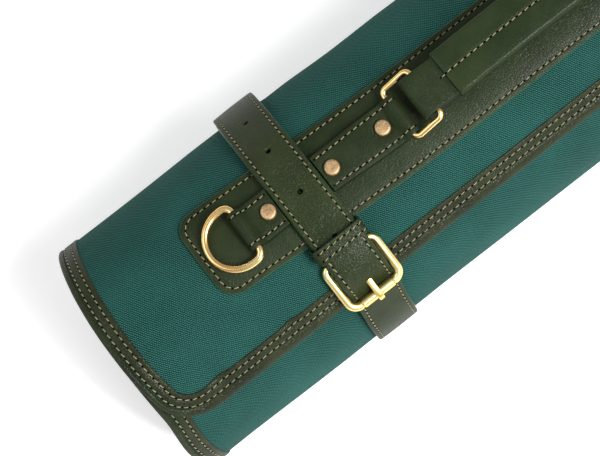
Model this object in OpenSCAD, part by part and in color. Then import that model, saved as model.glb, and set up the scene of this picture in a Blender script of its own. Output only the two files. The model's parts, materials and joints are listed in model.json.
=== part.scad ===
// Carving tool roll, rolled up and fastened: a canvas sheet bound in leather, held by two
// buckled belts, with a leather carrying handle and two D rings along its top.
//
// Frame: X runs along the roll, -Y is the front, where the flap edge and the buckles are,
// and +Z is up through the handle. The belts' undersides rest on Z = 0.
// Angles round the roll are measured from the top towards the front. The patch, the tabs and
// the handle lie a little to the front of the top.

/* [Roll] */
// Length of the roll, along X
roll_len = 520; // [440:1:560]
// Radius of the rolled canvas
roll_r = 68; // [64:0.5:72]
// How far the resting roll is flattened at its underside
sag = 12; // [8:0.5:14]
// Angle of the flap's free edge
flap_angle = 55; // [52:0.5:58]
// Turns of the sheet, from its free edge to its inner end
turns = 2; // [1.8:0.05:2.1]
// How far the sheet winds inward in each turn after the first
wind_pitch = 24; // [20:1:26]

/* [Cloth and leather] */
// Thickness of the outer canvas
canvas_t = 1.1; // [0.9:0.1:1.2]
// Thickness of the lining
lining_t = 0.7; // [0.5:0.1:0.8]
// Thickness of the pocket and flap cloth
pocket_t = 0.7; // [0.5:0.1:0.9]
// Thickness of the leather binding
binding_t = 0.8; // [0.6:0.1:0.9]
// Width of the leather binding at the ends of the roll
binding_w = 12; // [10:0.5:14]
// Width of the leather binding along the flap's edge
flap_binding_w = 15; // [12:0.5:16]
// Thickness of the handle patch
patch_t = 1.6; // [1.4:0.1:1.8]
// Half length of the handle patch
patch_half = 200; // [195:1:210]
// Angle between the patch's middle line and its edges
patch_angle = 21.4; // [20:0.1:22]
// Angle of the patch's middle line from the top
patch_lean = 1; // [0:0.1:2]

/* [Belts] */
// Distance of each belt from the middle of the roll
belt_x = 139.3; // [138:0.1:141]
// Width of the belts
belt_w = 25.4; // [25:0.1:25.6]
// Thickness of the belts
belt_t = 2.6; // [2.4:0.1:2.8]
// Spacing of the belt holes, as an angle
hole_step = 21.1; // [20:0.1:22]
// Angle of the tail's tip
tail_angle = -100; // [-110:1:-95]

/* [Buckles] */
// Angle of the heel bar
heel_angle = 32.8; // [32:0.1:33.5]
// Angle of the roller
roller_angle = 53.3; // [52.5:0.1:54]
// Radius of the frame's wire
frame_r = 2.1; // [2:0.05:2.2]
// Clear width inside the frame
frame_inner = 26.2; // [26:0.1:26.6]
// Length of the roller
roller_len = 18.8; // [18:0.1:20]

/* [Rings and handle] */
// Distance of the D ring's bar from the middle
d_bar_x = 171.7; // [171:0.1:173]
// Radius of the D ring's wire
d_wire_r = 1.9; // [1.8:0.05:2]
// Radius of the D ring's bow, at the middle of the wire
d_bow_r = 15.4; // [15:0.1:16]
// Angle of the D rings and their tabs from the top
d_lean = 1.4; // [0:0.1:2]
// Distance of the handle ring's lower bar from the middle
ring_x = 78.4; // [78:0.1:79]
// Reach of the handle ring, between its bars
ring_reach = 17; // [16.5:0.1:17.5]
// Rise of the handle ring at rest, in degrees
ring_rise = 20.7; // [20:0.1:22]
// Slack of the handle's end loops
loop_slack = 4; // [3.5:0.1:4.5]
// Width of the handle
handle_w = 22.6; // [22:0.1:23]
// Rise of the handle's arch at its middle
arch = 2.5; // [1:0.1:4]
// Angle of the handle, its rings and their tabs from the top
handle_lean = 3; // [0:0.1:4]

/* [Hidden] */
$fn = 64;
eps = 0.01;

canvas_colour = "#29554E";
lining_colour = "#3A4A3C";
binding_colour = "#465036";
strap_colour = "#3F4B31";
wrap_colour = "#465236";
rivet_colour = "#D0A677";
ring_colour = "#DFB96C";
frame_colour = "#E3C07A";
roller_colour = "#EBCB88";
prong_colour = "#DDB46A";
thread_gap = 0.15;       // how closely stacked layers lie
lay = 0.3;               // how closely the belts lie on the canvas
step = 4.5;              // angle between the points of a curved outline

// The sheet
sheet_t = canvas_t + lining_t;
edge_step = sheet_t + 2 * binding_t + 0.2; // drop from the flap's face to the turn beneath
sheet_edge = binding_t / (2 * PI * roll_r); // turns that a binding's thickness takes
dip_start = 0.86;        // turn at which the sheet starts to dip under the flap
squareness = 2.6;        // exponent of the flattened underside, 2 for an ellipse
foot_clip = 1.2;         // depth cut off the underside to leave it flat
pocket_start = 1.06;     // turns at which the pockets and the tool flap start and end
pocket_end = turns - 0.055;
flap_bind = flap_binding_w / (2 * PI * roll_r);  // turns that the flap's binding covers
inner_bind = 0.045;      // turns that the inner edge's binding covers
panel_gap = 1;           // gap between the end bindings and the panels
pocket_gap = 12;         // gap between the pockets and the tool flap

// The belts
strap_shift = -0.3;      // the under strap sits a little further out than the billet
strap_end = -125;        // where the buckle strap is sewn down, at the back
billet_start = 231;      // where the billet is sewn down, beside it
hole_r = 1.6;
hole_count = 4;
tongue_hole_angle = 45.1;
chape_t = 1.8;           // leather of the fold round the heel bar, thinned to bend
heel_r = 1.5;            // radius of the heel bar and of the bar in the roller
pin_gap = 0.08;          // running clearance of the roller and the prong
loose_gap = 0.3;         // clearance of metal in leather loops
fold_r = heel_r + loose_gap + chape_t;
heel_at = roll_r + lay + fold_r;
over_r = heel_at + fold_r + 0.2;      // inner radius of the billet over the fold
roller_r = 2.5;
roller_at = 76;          // distance of the roller's middle from the roll's axis
under_r = roller_at - roller_r - loose_gap - belt_t;
prong_w = 3;
prong_eye_r = 3.2;
prong_slot_w = 4.4;      // slot for the prong's eye in the fold round the heel bar
billet_slot_w = 3.8;
billet_slot = [10.4, 20.8]; // the drawn-out hole's ends, from the heel bar
keeper_t = 1.6;
keeper_angles = [23.5, 29.5];
keeper_play = 0.3;
keeper_depth = 0.6;      // height of the keeper's underside over the canvas

// The tabs, rings and handle
tab_t = 2;               // leather of a tab, doubled over its ring
tab_h = 2 * tab_t;
d_tab_w = 22;
d_tab_end = belt_x + belt_w / 2 + 0.6;
handle_tab_end = belt_x - belt_w / 2 - 0.9;
ring_wire_r = 1.5;
ring_half = 14.4;        // from the ring's middle to the middle of its side wires
ring_corner = 3;
d_fold_r = d_wire_r + loose_gap + tab_t;
ring_fold_r = ring_wire_r + loose_gap + tab_t;
fold_blend = 6;          // length over which a fold settles to the doubled thickness
rivet_xs = [157.5, 119.8, 88.5];
rivet_r = 4;
rivet_h = 1.6;
post_r = 1.5;
post_bore_r = 1.6;
rivet_back_h = 1;
core_t = 2.1;            // leather of the handle's core strap
wrap_t = 1.6;
wrap_half = 49.5;
slot_r = ring_wire_r + 0.5;
loop_r = slot_r + core_t;

patch_top = roll_r + thread_gap + patch_t;
tab_lay = 0.05;          // how closely the tabs lie on the patch
fold_lay = 0.1;          // how closely their folds do
d_bar_z = patch_top + fold_lay + d_fold_r;
ring_bar_z = patch_top + fold_lay + ring_fold_r;
d_leg = 6.3;             // from the D's bar to the middle of its bow
d_corner = 4.5;          // radius of the D's corners
d_droop = asin((d_bar_z - patch_top - d_wire_r - loose_gap) / (d_leg + d_bow_r));
bar_x = ring_x - ring_reach * cos(ring_rise);
bar_z = ring_bar_z + ring_reach * sin(ring_rise);

// The roll's axis, so that the belts rest on Z = 0 and the box is centred on Y = 0
axis_z = roll_r - sag + lay + belt_t;
axis_y = -(belt_t + thread_gap) / 2;

function smooth(t) = let (u = max(0, min(1, t))) u * u * (3 - 2 * u);
function mix(a, b, t) = a + (b - a) * t;

// Radius of the sheet's outer face, and its angle, a number of turns from the free edge
function sheet_r(turn) =
    roll_r
    - edge_step * smooth((turn - dip_start) / (1 - dip_start))
    - wind_pitch * max(0, turn - 1);
function turn_angle(turn) = flap_angle - 360 * turn;

// A point of the roll's section: round above the axis, flattened below it
function section(angle, r) =
    let (s = sin(angle), c = cos(angle), p = 2 / squareness)
    c >= 0
        ? [-r * s, r * c]
        : [-r * sign(s) * pow(abs(s), p), -min((r - sag + foot_clip) * pow(-c, p), r - sag)];

// A point over the sheet's outer face. Between whole steps it lies on the straight line
// that joins them, so that layers with different ends still lie flat against each other.
function step_point(i, height) = section(turn_angle(i * step / 360), sheet_r(i * step / 360) + height);
function sheet_point(turn, height) =
    let (at = turn * 360 / step, i = floor(at))
    mix(step_point(i, height), step_point(i + 1, height), at - i);

// Points along the sheet between two turns, at a height over its outer face
function sheet_line(from, to, height) =
    let (first = floor(from * 360 / step) + 1, last = ceil(to * 360 / step) - 1)
    concat([sheet_point(from, height)],
           [for (i = [first:last]) step_point(i, height)],
           [sheet_point(to, height)]);

function reversed(list) = [for (i = [len(list) - 1:-1:0]) list[i]];

// Height of the canvas face that the belts lie on, with the patch under them at the top
function belt_bed(angle) =
    roll_r + lay + patch_t * (1 - smooth((abs(angle) - patch_angle - 1) / 6));

// Inner radius of the billet: over the buckle strap, over the heel bar, under the roller,
// then on the canvas
function billet_r(angle) =
    let (on_strap = belt_bed(angle) + belt_t + thread_gap,
         rise = smooth((angle - 17) / 14),
         dive = smooth((angle - 41) / (roller_angle - 41)),
         settle = smooth((angle - roller_angle - 1) / 14))
    angle < heel_angle
        ? mix(on_strap, over_r, rise)
        : angle < roller_angle ? mix(over_r, under_r, dive) : mix(under_r, roll_r + lay, settle);

function billet_line(from, to, height) =
    let (count = ceil(abs(to - from) / 3))
    [for (i = [0:count])
        let (angle = mix(from, to, i / count))
        section(angle, billet_r(angle) + height)];

function strap_line(from, to, height) =
    let (count = ceil(abs(to - from) / step))
    [for (i = [0:count])
        let (angle = mix(from, to, i / count))
        section(angle, belt_bed(angle) + height)];

// Puts children drawn round the roll's axis into the part's frame
module on_axis() translate([0, axis_y, axis_z]) children();

// Extrudes a Y-Z outline along X between two ends
module along_x(from, to) {
    translate([from, 0, 0]) rotate([90, 0, 90]) linear_extrude(to - from) children();
}

// Extrudes an X-Z outline along Y, to both sides of the middle
module across_y(width) rotate([90, 0, 0]) linear_extrude(width, center = true) children();

module mirrored(side) mirror([side < 0 ? 0 : 1, 0, 0]) children();

// Turns children drawn over the top of the roll towards the front
module leaning(angle) rotate([angle, 0, 0]) children();

// A band of the sheet between two turns and two heights
module sheet_band(from, to, low, high) {
    polygon(concat(sheet_line(from, to, high), reversed(sheet_line(from, to, low))));
}

module outer_canvas() color(canvas_colour) on_axis()
    difference() {
        along_x(-roll_len / 2 + binding_t, roll_len / 2 - binding_t)
            sheet_band(sheet_edge, turns - sheet_edge, -canvas_t, 0);
        rivet_bores_outer();
    }

// Puts children over each rivet's place
module at_rivets() {
    for (side = [-1, 1], i = [0:len(rivet_xs) - 1])
        leaning(i == 0 ? d_lean : handle_lean) translate([side * rivet_xs[i], 0, 0]) children();
}

// Rivet holes through the outer turn only
module rivet_bores_outer() {
    at_rivets() translate([0, 0, roll_r - sheet_t - 1]) cylinder(h = 12, r = post_bore_r, $fn = 32);
}

module lining() color(lining_colour) on_axis()
    difference() {
        along_x(-roll_len / 2 + binding_t, roll_len / 2 - binding_t)
            sheet_band(sheet_edge, turns - sheet_edge, -sheet_t, -canvas_t);
        rivet_bores_outer();
    }

module inner_panel(from, to) on_axis()
    along_x(from, to) sheet_band(pocket_start, pocket_end, -sheet_t - pocket_t, -sheet_t);

module pocket_panel() color(lining_colour)
    inner_panel(-roll_len / 2 + binding_w + panel_gap, -pocket_gap / 2);

module tool_flap() color(canvas_colour)
    inner_panel(pocket_gap / 2, roll_len / 2 - binding_w - panel_gap);

// A channel of leather folded over the sheet's end, all the way round the roll
module end_binding(side) color(binding_colour) on_axis() mirrored(side)
    difference() {
        along_x(-roll_len / 2, -roll_len / 2 + binding_w)
            sheet_band(0, turns, -sheet_t - binding_t, binding_t);
        along_x(-roll_len / 2 + binding_t, -roll_len / 2 + binding_w + 1)
            sheet_band(sheet_edge, turns - sheet_edge, -sheet_t, 0);
    }

// The same channel along an edge of the sheet that runs the length of the roll
module edge_binding(from, to, inner_from, inner_to) color(binding_colour) on_axis()
    along_x(-roll_len / 2 + binding_w, roll_len / 2 - binding_w) difference() {
        sheet_band(from, to, -sheet_t - binding_t, binding_t);
        sheet_band(inner_from, inner_to, -sheet_t, 0);
    }

module binding_flap_edge()
    edge_binding(0, flap_bind, sheet_edge, flap_bind + eps);

module binding_inner_edge()
    edge_binding(turns - inner_bind, turns, turns - inner_bind - eps, turns - sheet_edge);

module handle_patch() color(strap_colour) on_axis()
    difference() {
        along_x(-patch_half, patch_half)
            sheet_band((flap_angle - patch_lean - patch_angle) / 360,
                       (flap_angle - patch_lean + patch_angle) / 360,
                       thread_gap, thread_gap + patch_t);
        rivet_bores_outer();
        for (side = [-1, 1]) mirrored(side) patch_corners();
    }

// Rounds the patch's two corners at its left end
module patch_corners() {
    radius = 10;
    for (front = [-1, 1])
        leaning(patch_lean + front * (patch_angle - radius / roll_r * 180 / PI))
            translate([-patch_half, 0, roll_r - 4])
                difference() {
                    translate([-1, front > 0 ? -radius - 3 : 0, 0]) cube([radius + 1, radius + 3, 10]);
                    translate([radius, 0, -1]) cylinder(h = 12, r = radius);
                }
}

// A strap doubled round a ring's bar, lying on the patch and riveted down. It is drawn
// for the left side, from the fold at from_x towards to_x.
module tab(from_x, to_x, width, fold, wire, bar_height, rivets) {
    dir = sign(to_x - from_x);
    half_angle = width / 2 / (patch_top + tab_h / 2) * 180 / PI;
    difference() {
        union() {
            along_x(min(from_x, to_x), max(from_x, to_x))
                polygon(concat(tab_arc(-half_angle, half_angle, patch_top + tab_h),
                               tab_arc(half_angle, -half_angle, patch_top + tab_lay)));
            translate([from_x, 0, bar_height])
                rotate([90, 0, 0]) cylinder(h = width, r = fold, center = true);
            across_y(width)
                polygon([[from_x, bar_height + fold],
                         [from_x + dir * 2, bar_height + fold - 0.3],
                         [from_x + dir * fold_blend, patch_top + tab_h - 0.4],
                         [from_x + dir * fold_blend, patch_top + 1.2],
                         [from_x, bar_height - fold + 0.3]]);
        }
        translate([from_x, 0, bar_height])
            rotate([90, 0, 0]) cylinder(h = width + 2, r = wire + loose_gap, center = true);
        for (x = rivets)
            translate([-x, 0, roll_r - 1]) cylinder(h = 14, r = post_bore_r, $fn = 32);
    }
}

function tab_arc(from, to, r) =
    [for (i = [0:4]) let (a = mix(from, to, i / 4)) [-r * sin(a), r * cos(a)]];

module d_tab(side) color(strap_colour) on_axis() leaning(d_lean) mirrored(side)
    tab(-d_bar_x, -d_tab_end, d_tab_w, d_fold_r, d_wire_r, d_bar_z, [rivet_xs[0]]);

module handle_tab(side) color(strap_colour) on_axis() leaning(handle_lean) mirrored(side)
    tab(-ring_x, -handle_tab_end, handle_w, ring_fold_r, ring_wire_r, ring_bar_z,
        [rivet_xs[1], rivet_xs[2]]);

module rivet_caps() color(rivet_colour) on_axis()
    at_rivets() {
        translate([0, 0, patch_top + tab_h + tab_lay]) cylinder(h = rivet_h, r = rivet_r);
        translate([0, 0, roll_r - sheet_t - rivet_back_h])
            cylinder(h = patch_top + tab_h + 1 - roll_r + sheet_t + rivet_back_h, r = post_r, $fn = 32);
    }

module rivet_backs() color(rivet_colour) on_axis()
    at_rivets() translate([0, 0, roll_r - sheet_t - rivet_back_h - 0.2])
        difference() {
            cylinder(h = rivet_back_h, r = rivet_r);
            translate([0, 0, -1]) cylinder(h = rivet_back_h + 2, r = post_bore_r, $fn = 32);
        }

// Where the heel bar and the roller lie in the Y-Z plane, and the tilt of the buckle
heel_pos = section(heel_angle, heel_at);
roller_pos = section(roller_angle, roller_at);
buckle_len = norm(heel_pos - roller_pos);
buckle_tilt = atan2(heel_pos[1] - roller_pos[1], heel_pos[0] - roller_pos[0]);

// Puts children drawn flat, with the heel bar along X through the origin and the roller
// towards -Y, into a buckle's place
module at_buckle(side) on_axis() mirrored(side)
    translate([-belt_x, heel_pos[0], heel_pos[1]]) rotate([buckle_tilt, 0, 0]) children();

module rod_x(length, radius) rotate([0, 90, 0]) cylinder(h = length, r = radius, center = true);

// The strap that carries the buckle, folded round the heel bar
module buckle_strap(side) color(strap_colour) union() {
    on_axis() mirrored(side)
        along_x(-belt_x - belt_w / 2 + strap_shift, -belt_x + belt_w / 2 + strap_shift)
            polygon(concat(strap_line(strap_end, heel_angle - 5, belt_t),
                           reversed(strap_line(strap_end, heel_angle - 5, 0))));
    at_buckle(side)
        difference() {
            union() {
                translate([strap_shift, 0, 0]) rod_x(belt_w, fold_r);
                translate([strap_shift - belt_w / 2, 0, 0]) rotate([90, 0, 90])
                    linear_extrude(belt_w)
                        polygon([[0, fold_r], [7, -0.6], [7.4, -2.4], [1, -fold_r]]);
            }
            rod_x(belt_w + 10, heel_r + loose_gap);
            cube([prong_slot_w, 2 * prong_eye_r + 1, 4 * fold_r], center = true);
            translate([-prong_slot_w / 2, -fold_r - 1, -fold_r - 1])
                cube([prong_slot_w, fold_r + 1, 2 * fold_r + 2]);
        }
}

// The strap with the holes, from the back, under the roll, through the buckle and back
// over the top to its tail
module billet(side) color(strap_colour) on_axis() mirrored(side)
    difference() {
        along_x(-belt_x - belt_w / 2, -belt_x + belt_w / 2)
            polygon(concat(billet_line(tail_angle, billet_start, belt_t),
                           reversed(billet_line(tail_angle, billet_start, 0))));
        for (i = [1:hole_count])
            rotate([tongue_hole_angle - i * hole_step, 0, 0])
                translate([-belt_x, 0, roll_r]) cylinder(h = 16, r = hole_r, $fn = 32);
        billet_tip();
        prong_slot();
    }

// Rounds the tail's two corners
module billet_tip() {
    radius = 9;
    for (edge = [-1, 1])
        rotate([tail_angle + radius / roll_r * 180 / PI, 0, 0])
            translate([-belt_x + edge * (belt_w / 2 - radius), 0, roll_r + 2])
                difference() {
                    translate([edge > 0 ? 0 : -radius - 1, 0, 0]) cube([radius + 1, radius + 6, 9]);
                    translate([0, 0, -1]) cylinder(h = 12, r = radius);
                }
}

// The hole that the prong passes through, drawn out by the pull of the buckle
module prong_slot() {
    translate([-belt_x, heel_pos[0], heel_pos[1]]) rotate([buckle_tilt, 0, 0])
        translate([-billet_slot_w / 2, -billet_slot[1], -7])
            cube([billet_slot_w, billet_slot[1] - billet_slot[0], 16]);
}

// The loop that holds the billet down behind the buckle
module keeper(side) color(binding_colour) on_axis() mirrored(side) {
    middle = (keeper_angles[0] + keeper_angles[1]) / 2;
    long = (keeper_angles[1] - keeper_angles[0]) * PI / 180 * over_r;
    inside = belt_w / 2 + 0.5 - strap_shift / 2;
    top = over_r + belt_t + keeper_play;
    rotate([middle, 0, 0]) translate([-belt_x + strap_shift / 2, 0, 0])
        difference() {
            translate([-inside - keeper_t, -long / 2, roll_r + keeper_depth])
                cube([2 * (inside + keeper_t), long, top + keeper_t - roll_r - keeper_depth]);
            translate([-inside, -long / 2 - 1, roll_r - 1])
                cube([2 * inside, long + 2, top - roll_r + 1]);
        }
}

// The buckle's frame: two side bars with round corners, the heel bar, and a front bar
// that is thinner inside the roller
module buckle_frame(side) color(frame_colour) at_buckle(side) {
    half = frame_inner / 2 + frame_r;
    corner = 5;
    side_end = 1.6;
    front_from = roller_len / 2 + loose_gap;
    for (edge = [-1, 1]) {
        translate([edge * half, side_end, 0]) {
            rotate([90, 0, 0]) cylinder(h = buckle_len - corner + side_end, r = frame_r);
            sphere(r = frame_r);
        }
        translate([edge * (half - corner), -buckle_len + corner, 0])
            rotate([0, 0, edge > 0 ? -90 : 180]) rotate_extrude(angle = 90)
                translate([corner, 0]) circle(r = frame_r);
        translate([edge * (front_from + half - corner) / 2, -buckle_len, 0])
            rod_x(half - corner - front_from, frame_r);
    }
    rod_x(2 * half, heel_r);
    translate([0, -buckle_len, 0]) rod_x(2 * front_from, heel_r);
}

module roller(side) color(roller_colour) at_buckle(side)
    translate([0, -buckle_len, 0]) difference() {
        rod_x(roller_len, roller_r);
        rod_x(roller_len + 2, heel_r + pin_gap);
    }

// The prong: an eye on the heel bar and a cranked tongue that rests on the roller
module prong(side) color(prong_colour) at_buckle(side)
    difference() {
        union() {
            rod_x(prong_w, prong_eye_r);
            translate([-prong_w / 2, 0, 0]) rotate([90, 0, 90]) linear_extrude(prong_w)
                polygon([[0, 1.8], [-10.5, 2], [-20.5, 4.8], [-27, 4.8], [-29.2, 4.1],
                         [-30, 2.9], [-29, 2.2], [-27.4, roller_r + 0.15],
                         [-21, roller_r + 0.15], [-11, 0], [0, -0.2]]);
        }
        rod_x(prong_w + 2, heel_r + pin_gap);
    }

// The D ring, lying flat on the patch
module d_ring(side) color(ring_colour) on_axis() leaning(d_lean) rotate([0, 0, side < 0 ? 0 : 180])
    translate([-d_bar_x, 0, d_bar_z]) rotate([0, -d_droop, 0]) {
        straight = d_bow_r - d_corner;
        rotate([90, 0, 0]) cylinder(h = 2 * straight, r = d_wire_r, center = true);
        for (edge = [-1, 1]) {
            translate([-d_corner, edge * straight, 0]) rotate([0, 0, edge > 0 ? 0 : -90])
                rotate_extrude(angle = 90) translate([d_corner, 0]) circle(r = d_wire_r);
            translate([-d_corner, edge * d_bow_r, 0])
                rotate([0, -90, 0]) cylinder(h = d_leg - d_corner, r = d_wire_r);
        }
        translate([-d_leg, 0, 0]) rotate([0, 0, 90]) rotate_extrude(angle = 180)
            translate([d_bow_r, 0]) circle(r = d_wire_r);
    }

// The handle's ring, leaning in from the tab's fold to the handle's end loop
module handle_ring(side) color(ring_colour) on_axis() leaning(handle_lean) mirrored(side)
    translate([-ring_x, 0, ring_bar_z]) rotate([0, -ring_rise, 0]) {
        straight = 2 * (ring_half - ring_corner);
        for (x = [0, ring_reach])
            translate([x, 0, 0]) rotate([90, 0, 0])
                cylinder(h = straight, r = ring_wire_r, center = true);
        for (edge = [-1, 1]) {
            translate([ring_corner, edge * ring_half, 0]) rotate([0, 90, 0])
                cylinder(h = ring_reach - 2 * ring_corner, r = ring_wire_r);
            for (end = [0, 1])
                translate([end ? ring_reach - ring_corner : ring_corner, edge * straight / 2, 0])
                    rotate([0, 0, ring_corner_turn(edge, end)]) rotate_extrude(angle = 90)
                        translate([ring_corner, 0]) circle(r = ring_wire_r);
        }
    }

function ring_corner_turn(edge, end) = edge > 0 ? (end ? 0 : 90) : (end ? 270 : 180);

// Height of the handle's middle line over the ring's upper bar
function handle_rise(x) = arch * (1 - pow(min(1, abs(x) / wrap_half), 2));

// An outline along the handle at a height from its middle line
function handle_line(half, height) =
    [for (i = [-8:8]) let (x = half * i / 8) [x, bar_z + handle_rise(x) + height]];

// The handle's inner strap, doubled, with a long loop round each ring
module handle_core() color(strap_colour) on_axis() leaning(handle_lean)
    difference() {
        union() {
            across_y(handle_w)
                polygon(concat(handle_line(wrap_half + 2, core_t),
                               reversed(handle_line(wrap_half + 2, -core_t))));
            for (side = [-1, 1]) mirrored(side) across_y(handle_w) loop_outline(loop_r);
        }
        for (side = [-1, 1]) mirrored(side) across_y(handle_w + 2) loop_outline(slot_r);
    }

// The left end loop: a long round-ended outline that narrows towards the handle
module loop_outline(radius) {
    translate([-bar_x, bar_z]) circle(r = radius);
    translate([-bar_x - loop_slack, bar_z]) circle(r = radius);
    translate([-bar_x - loop_slack, bar_z - radius]) square([loop_slack, 2 * radius]);
    if (radius > slot_r)
        polygon([[-bar_x, bar_z + radius], [-wrap_half - 1, bar_z + core_t],
                 [-wrap_half - 1, bar_z - core_t], [-bar_x, bar_z - radius]]);
}

// The outer wrap of the grip, closed round the core and sewn along its middle
module handle_wrap() color(wrap_colour) on_axis() leaning(handle_lean)
    difference() {
        across_y(handle_w + 2 * wrap_t)
            polygon(concat(handle_line(wrap_half, core_t + thread_gap + wrap_t),
                           reversed(handle_line(wrap_half, -core_t - thread_gap - wrap_t))));
        across_y(handle_w + 2 * thread_gap)
            polygon(concat(handle_line(wrap_half + 1, core_t + thread_gap),
                           reversed(handle_line(wrap_half + 1, -core_t - thread_gap))));
    }

outer_canvas();
lining();
pocket_panel();
tool_flap();
end_binding(-1);  // binding_left_end
end_binding(1);  // binding_right_end
binding_flap_edge();
binding_inner_edge();
handle_patch();
d_tab(-1);  // d_tab_left
d_tab(1);  // d_tab_right
handle_tab(-1);  // handle_tab_left
handle_tab(1);  // handle_tab_right
rivet_caps();
rivet_backs();
buckle_strap(-1);  // buckle_strap_left
buckle_strap(1);  // buckle_strap_right
billet(-1);  // billet_left
billet(1);  // billet_right
keeper(-1);  // keeper_left
keeper(1);  // keeper_right
buckle_frame(-1);  // buckle_frame_left
buckle_frame(1);  // buckle_frame_right
roller(-1);  // roller_left
roller(1);  // roller_right
prong(-1);  // prong_left
prong(1);  // prong_right
d_ring(-1);  // d_ring_left
d_ring(1);  // d_ring_right
handle_ring(-1);  // handle_ring_left
handle_ring(1);  // handle_ring_right
handle_core();
handle_wrap();
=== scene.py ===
import json
import math

import bmesh
import bpy
import numpy as np
from mathutils import Matrix, Vector


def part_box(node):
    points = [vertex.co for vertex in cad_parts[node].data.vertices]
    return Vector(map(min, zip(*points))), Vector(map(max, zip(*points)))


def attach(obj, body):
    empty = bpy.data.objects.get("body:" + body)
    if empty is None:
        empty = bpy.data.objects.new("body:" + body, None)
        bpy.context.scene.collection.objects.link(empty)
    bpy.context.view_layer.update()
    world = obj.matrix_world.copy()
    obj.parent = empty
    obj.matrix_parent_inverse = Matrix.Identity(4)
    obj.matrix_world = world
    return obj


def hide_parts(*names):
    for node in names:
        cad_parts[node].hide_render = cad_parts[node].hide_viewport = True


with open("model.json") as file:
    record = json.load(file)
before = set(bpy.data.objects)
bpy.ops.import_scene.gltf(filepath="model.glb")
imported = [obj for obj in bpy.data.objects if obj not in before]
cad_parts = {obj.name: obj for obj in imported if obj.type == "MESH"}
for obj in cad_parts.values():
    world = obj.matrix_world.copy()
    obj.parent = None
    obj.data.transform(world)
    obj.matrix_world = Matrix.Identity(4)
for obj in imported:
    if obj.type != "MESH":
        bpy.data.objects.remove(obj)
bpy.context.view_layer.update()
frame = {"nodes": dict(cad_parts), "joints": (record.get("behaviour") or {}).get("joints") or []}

MM = 0.001

# ---------------------------------------------------------------- the roll's own sizes
ROLL_R = 68 * MM
SAG = 12 * MM                  # how far the underside is flattened
FOOT_CLIP = 1.2 * MM
SQUARENESS = 2.6
FLAP_ANGLE = 55.0              # degrees from the top, towards the front
TURNS = 2.0
WIND_PITCH = 24 * MM
DIP_START = 0.86
CANVAS_T = 1.1 * MM
SHEET_T = 1.8 * MM
PANEL_T = 0.7 * MM
BIND_T = 0.8 * MM
EDGE_STEP = SHEET_T + 2 * BIND_T + 0.2 * MM
END_BIND_W = 12 * MM
FLAP_BIND_W = 15 * MM
FLAP_CORNER_R = 24 * MM
INNER_CORNER_R = 16 * MM
PATCH_T = 1.6 * MM
PATCH_GAP = 0.15 * MM
PATCH_CORNER_R = 11 * MM
BELT_T = 2.6 * MM
BELT_LAY = 0.3 * MM
TAB_T = 2.0 * MM
FOLD_BLEND = 6 * MM
WRAP_T = 1.6 * MM
CORE_T = 2.1 * MM
D_LEAN = 1.4
HANDLE_LEAN = 3.0
TAB_ASKEW = 1.3 * MM
STITCH_PITCH = 3.9 * MM
ROW_A, ROW_B = 3.1 * MM, 7.3 * MM   # the binding's stitch rows, from its inner edge

canvas_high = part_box("outer_canvas")[1]
AXIS_Y = canvas_high[1] - ROLL_R
AXIS_Z = canvas_high[2] - ROLL_R
HALF_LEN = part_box("binding_right_end")[1][0]
billet_low, billet_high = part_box("billet_left")
BELT_X = -(billet_low[0] + billet_high[0]) / 2
BELT_W = billet_high[0] - billet_low[0]
strap_low, strap_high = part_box("buckle_strap_left")
STRAP_SHIFT = (strap_low[0] + strap_high[0]) / 2 + BELT_X
joints = {j["name"]: j for j in frame["joints"]}


def polar(name):
    """Angle from the top and distance from the roll's axis of a joint's place."""
    _, y, z = joints[name]["pos_m"]
    return math.degrees(math.atan2(AXIS_Y - y, z - AXIS_Z)), math.hypot(y - AXIS_Y, z - AXIS_Z)


HEEL_ANGLE, HEEL_AT = polar("prong_left_lift")
ROLLER_ANGLE, ROLLER_AT = polar("roller_left_spin")
D_BAR_X = abs(joints["d_ring_left_flip"]["pos_m"][0])
D_BAR_R = polar("d_ring_left_flip")[1]
RING_BAR_X = abs(joints["handle_ring_left_swing"]["pos_m"][0])
RING_BAR_R = polar("handle_ring_left_swing")[1]


# ---------------------------------------------------------------- shapes round the axis
def smooth(t):
    u = np.clip(t, 0, 1)
    return u * u * (3 - 2 * u)


def mix(a, b, t):
    return a + (b - a) * t


def unit(v):
    """Directions brought to length one."""
    return v / np.linalg.norm(v, axis=-1)[..., None]


def grid(along, across):
    """Two values for each point of a grid, such as its flat place in metres."""
    return np.stack(np.meshgrid(along, across, indexing="ij"), -1)


def whole_turn(count):
    return np.arange(count) / count * 2 * math.pi


def sin_cos(degrees):
    return math.sin(math.radians(degrees)), math.cos(math.radians(degrees))


def section(angle, r):
    """Y and Z round the roll: round above the axis, flattened below it."""
    s, c = np.sin(np.radians(angle)), np.cos(np.radians(angle))
    p = 2 / SQUARENESS
    low = -np.minimum((r - SAG + FOOT_CLIP) * np.abs(c) ** p, r - SAG)
    y = np.where(c >= 0, -r * s, -r * np.sign(s) * np.abs(s) ** p)
    return AXIS_Y + y, AXIS_Z + np.where(c >= 0, r * c, low)


def at_angle(x, angle, r):
    x, angle, r = np.broadcast_arrays(np.asarray(x, float), angle, r)
    y, z = section(angle, r)
    return np.stack([x, y, z], -1)


def sheet_r(turn):
    dip = EDGE_STEP * smooth((turn - DIP_START) / (1 - DIP_START))
    return ROLL_R - dip - WIND_PITCH * np.maximum(0, turn - 1)


turn_table = np.linspace(0, TURNS, 4001)
turn_y, turn_z = section(FLAP_ANGLE - 360 * turn_table, sheet_r(turn_table))
length_table = np.concatenate([[0], np.cumsum(np.hypot(np.diff(turn_y), np.diff(turn_z)))])
SHEET_LEN = float(length_table[-1])


def turn_at(s):
    return np.interp(s, length_table, turn_table)


def bump(x, centre, width):
    return np.exp(-((x - centre) / width) ** 2)


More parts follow.
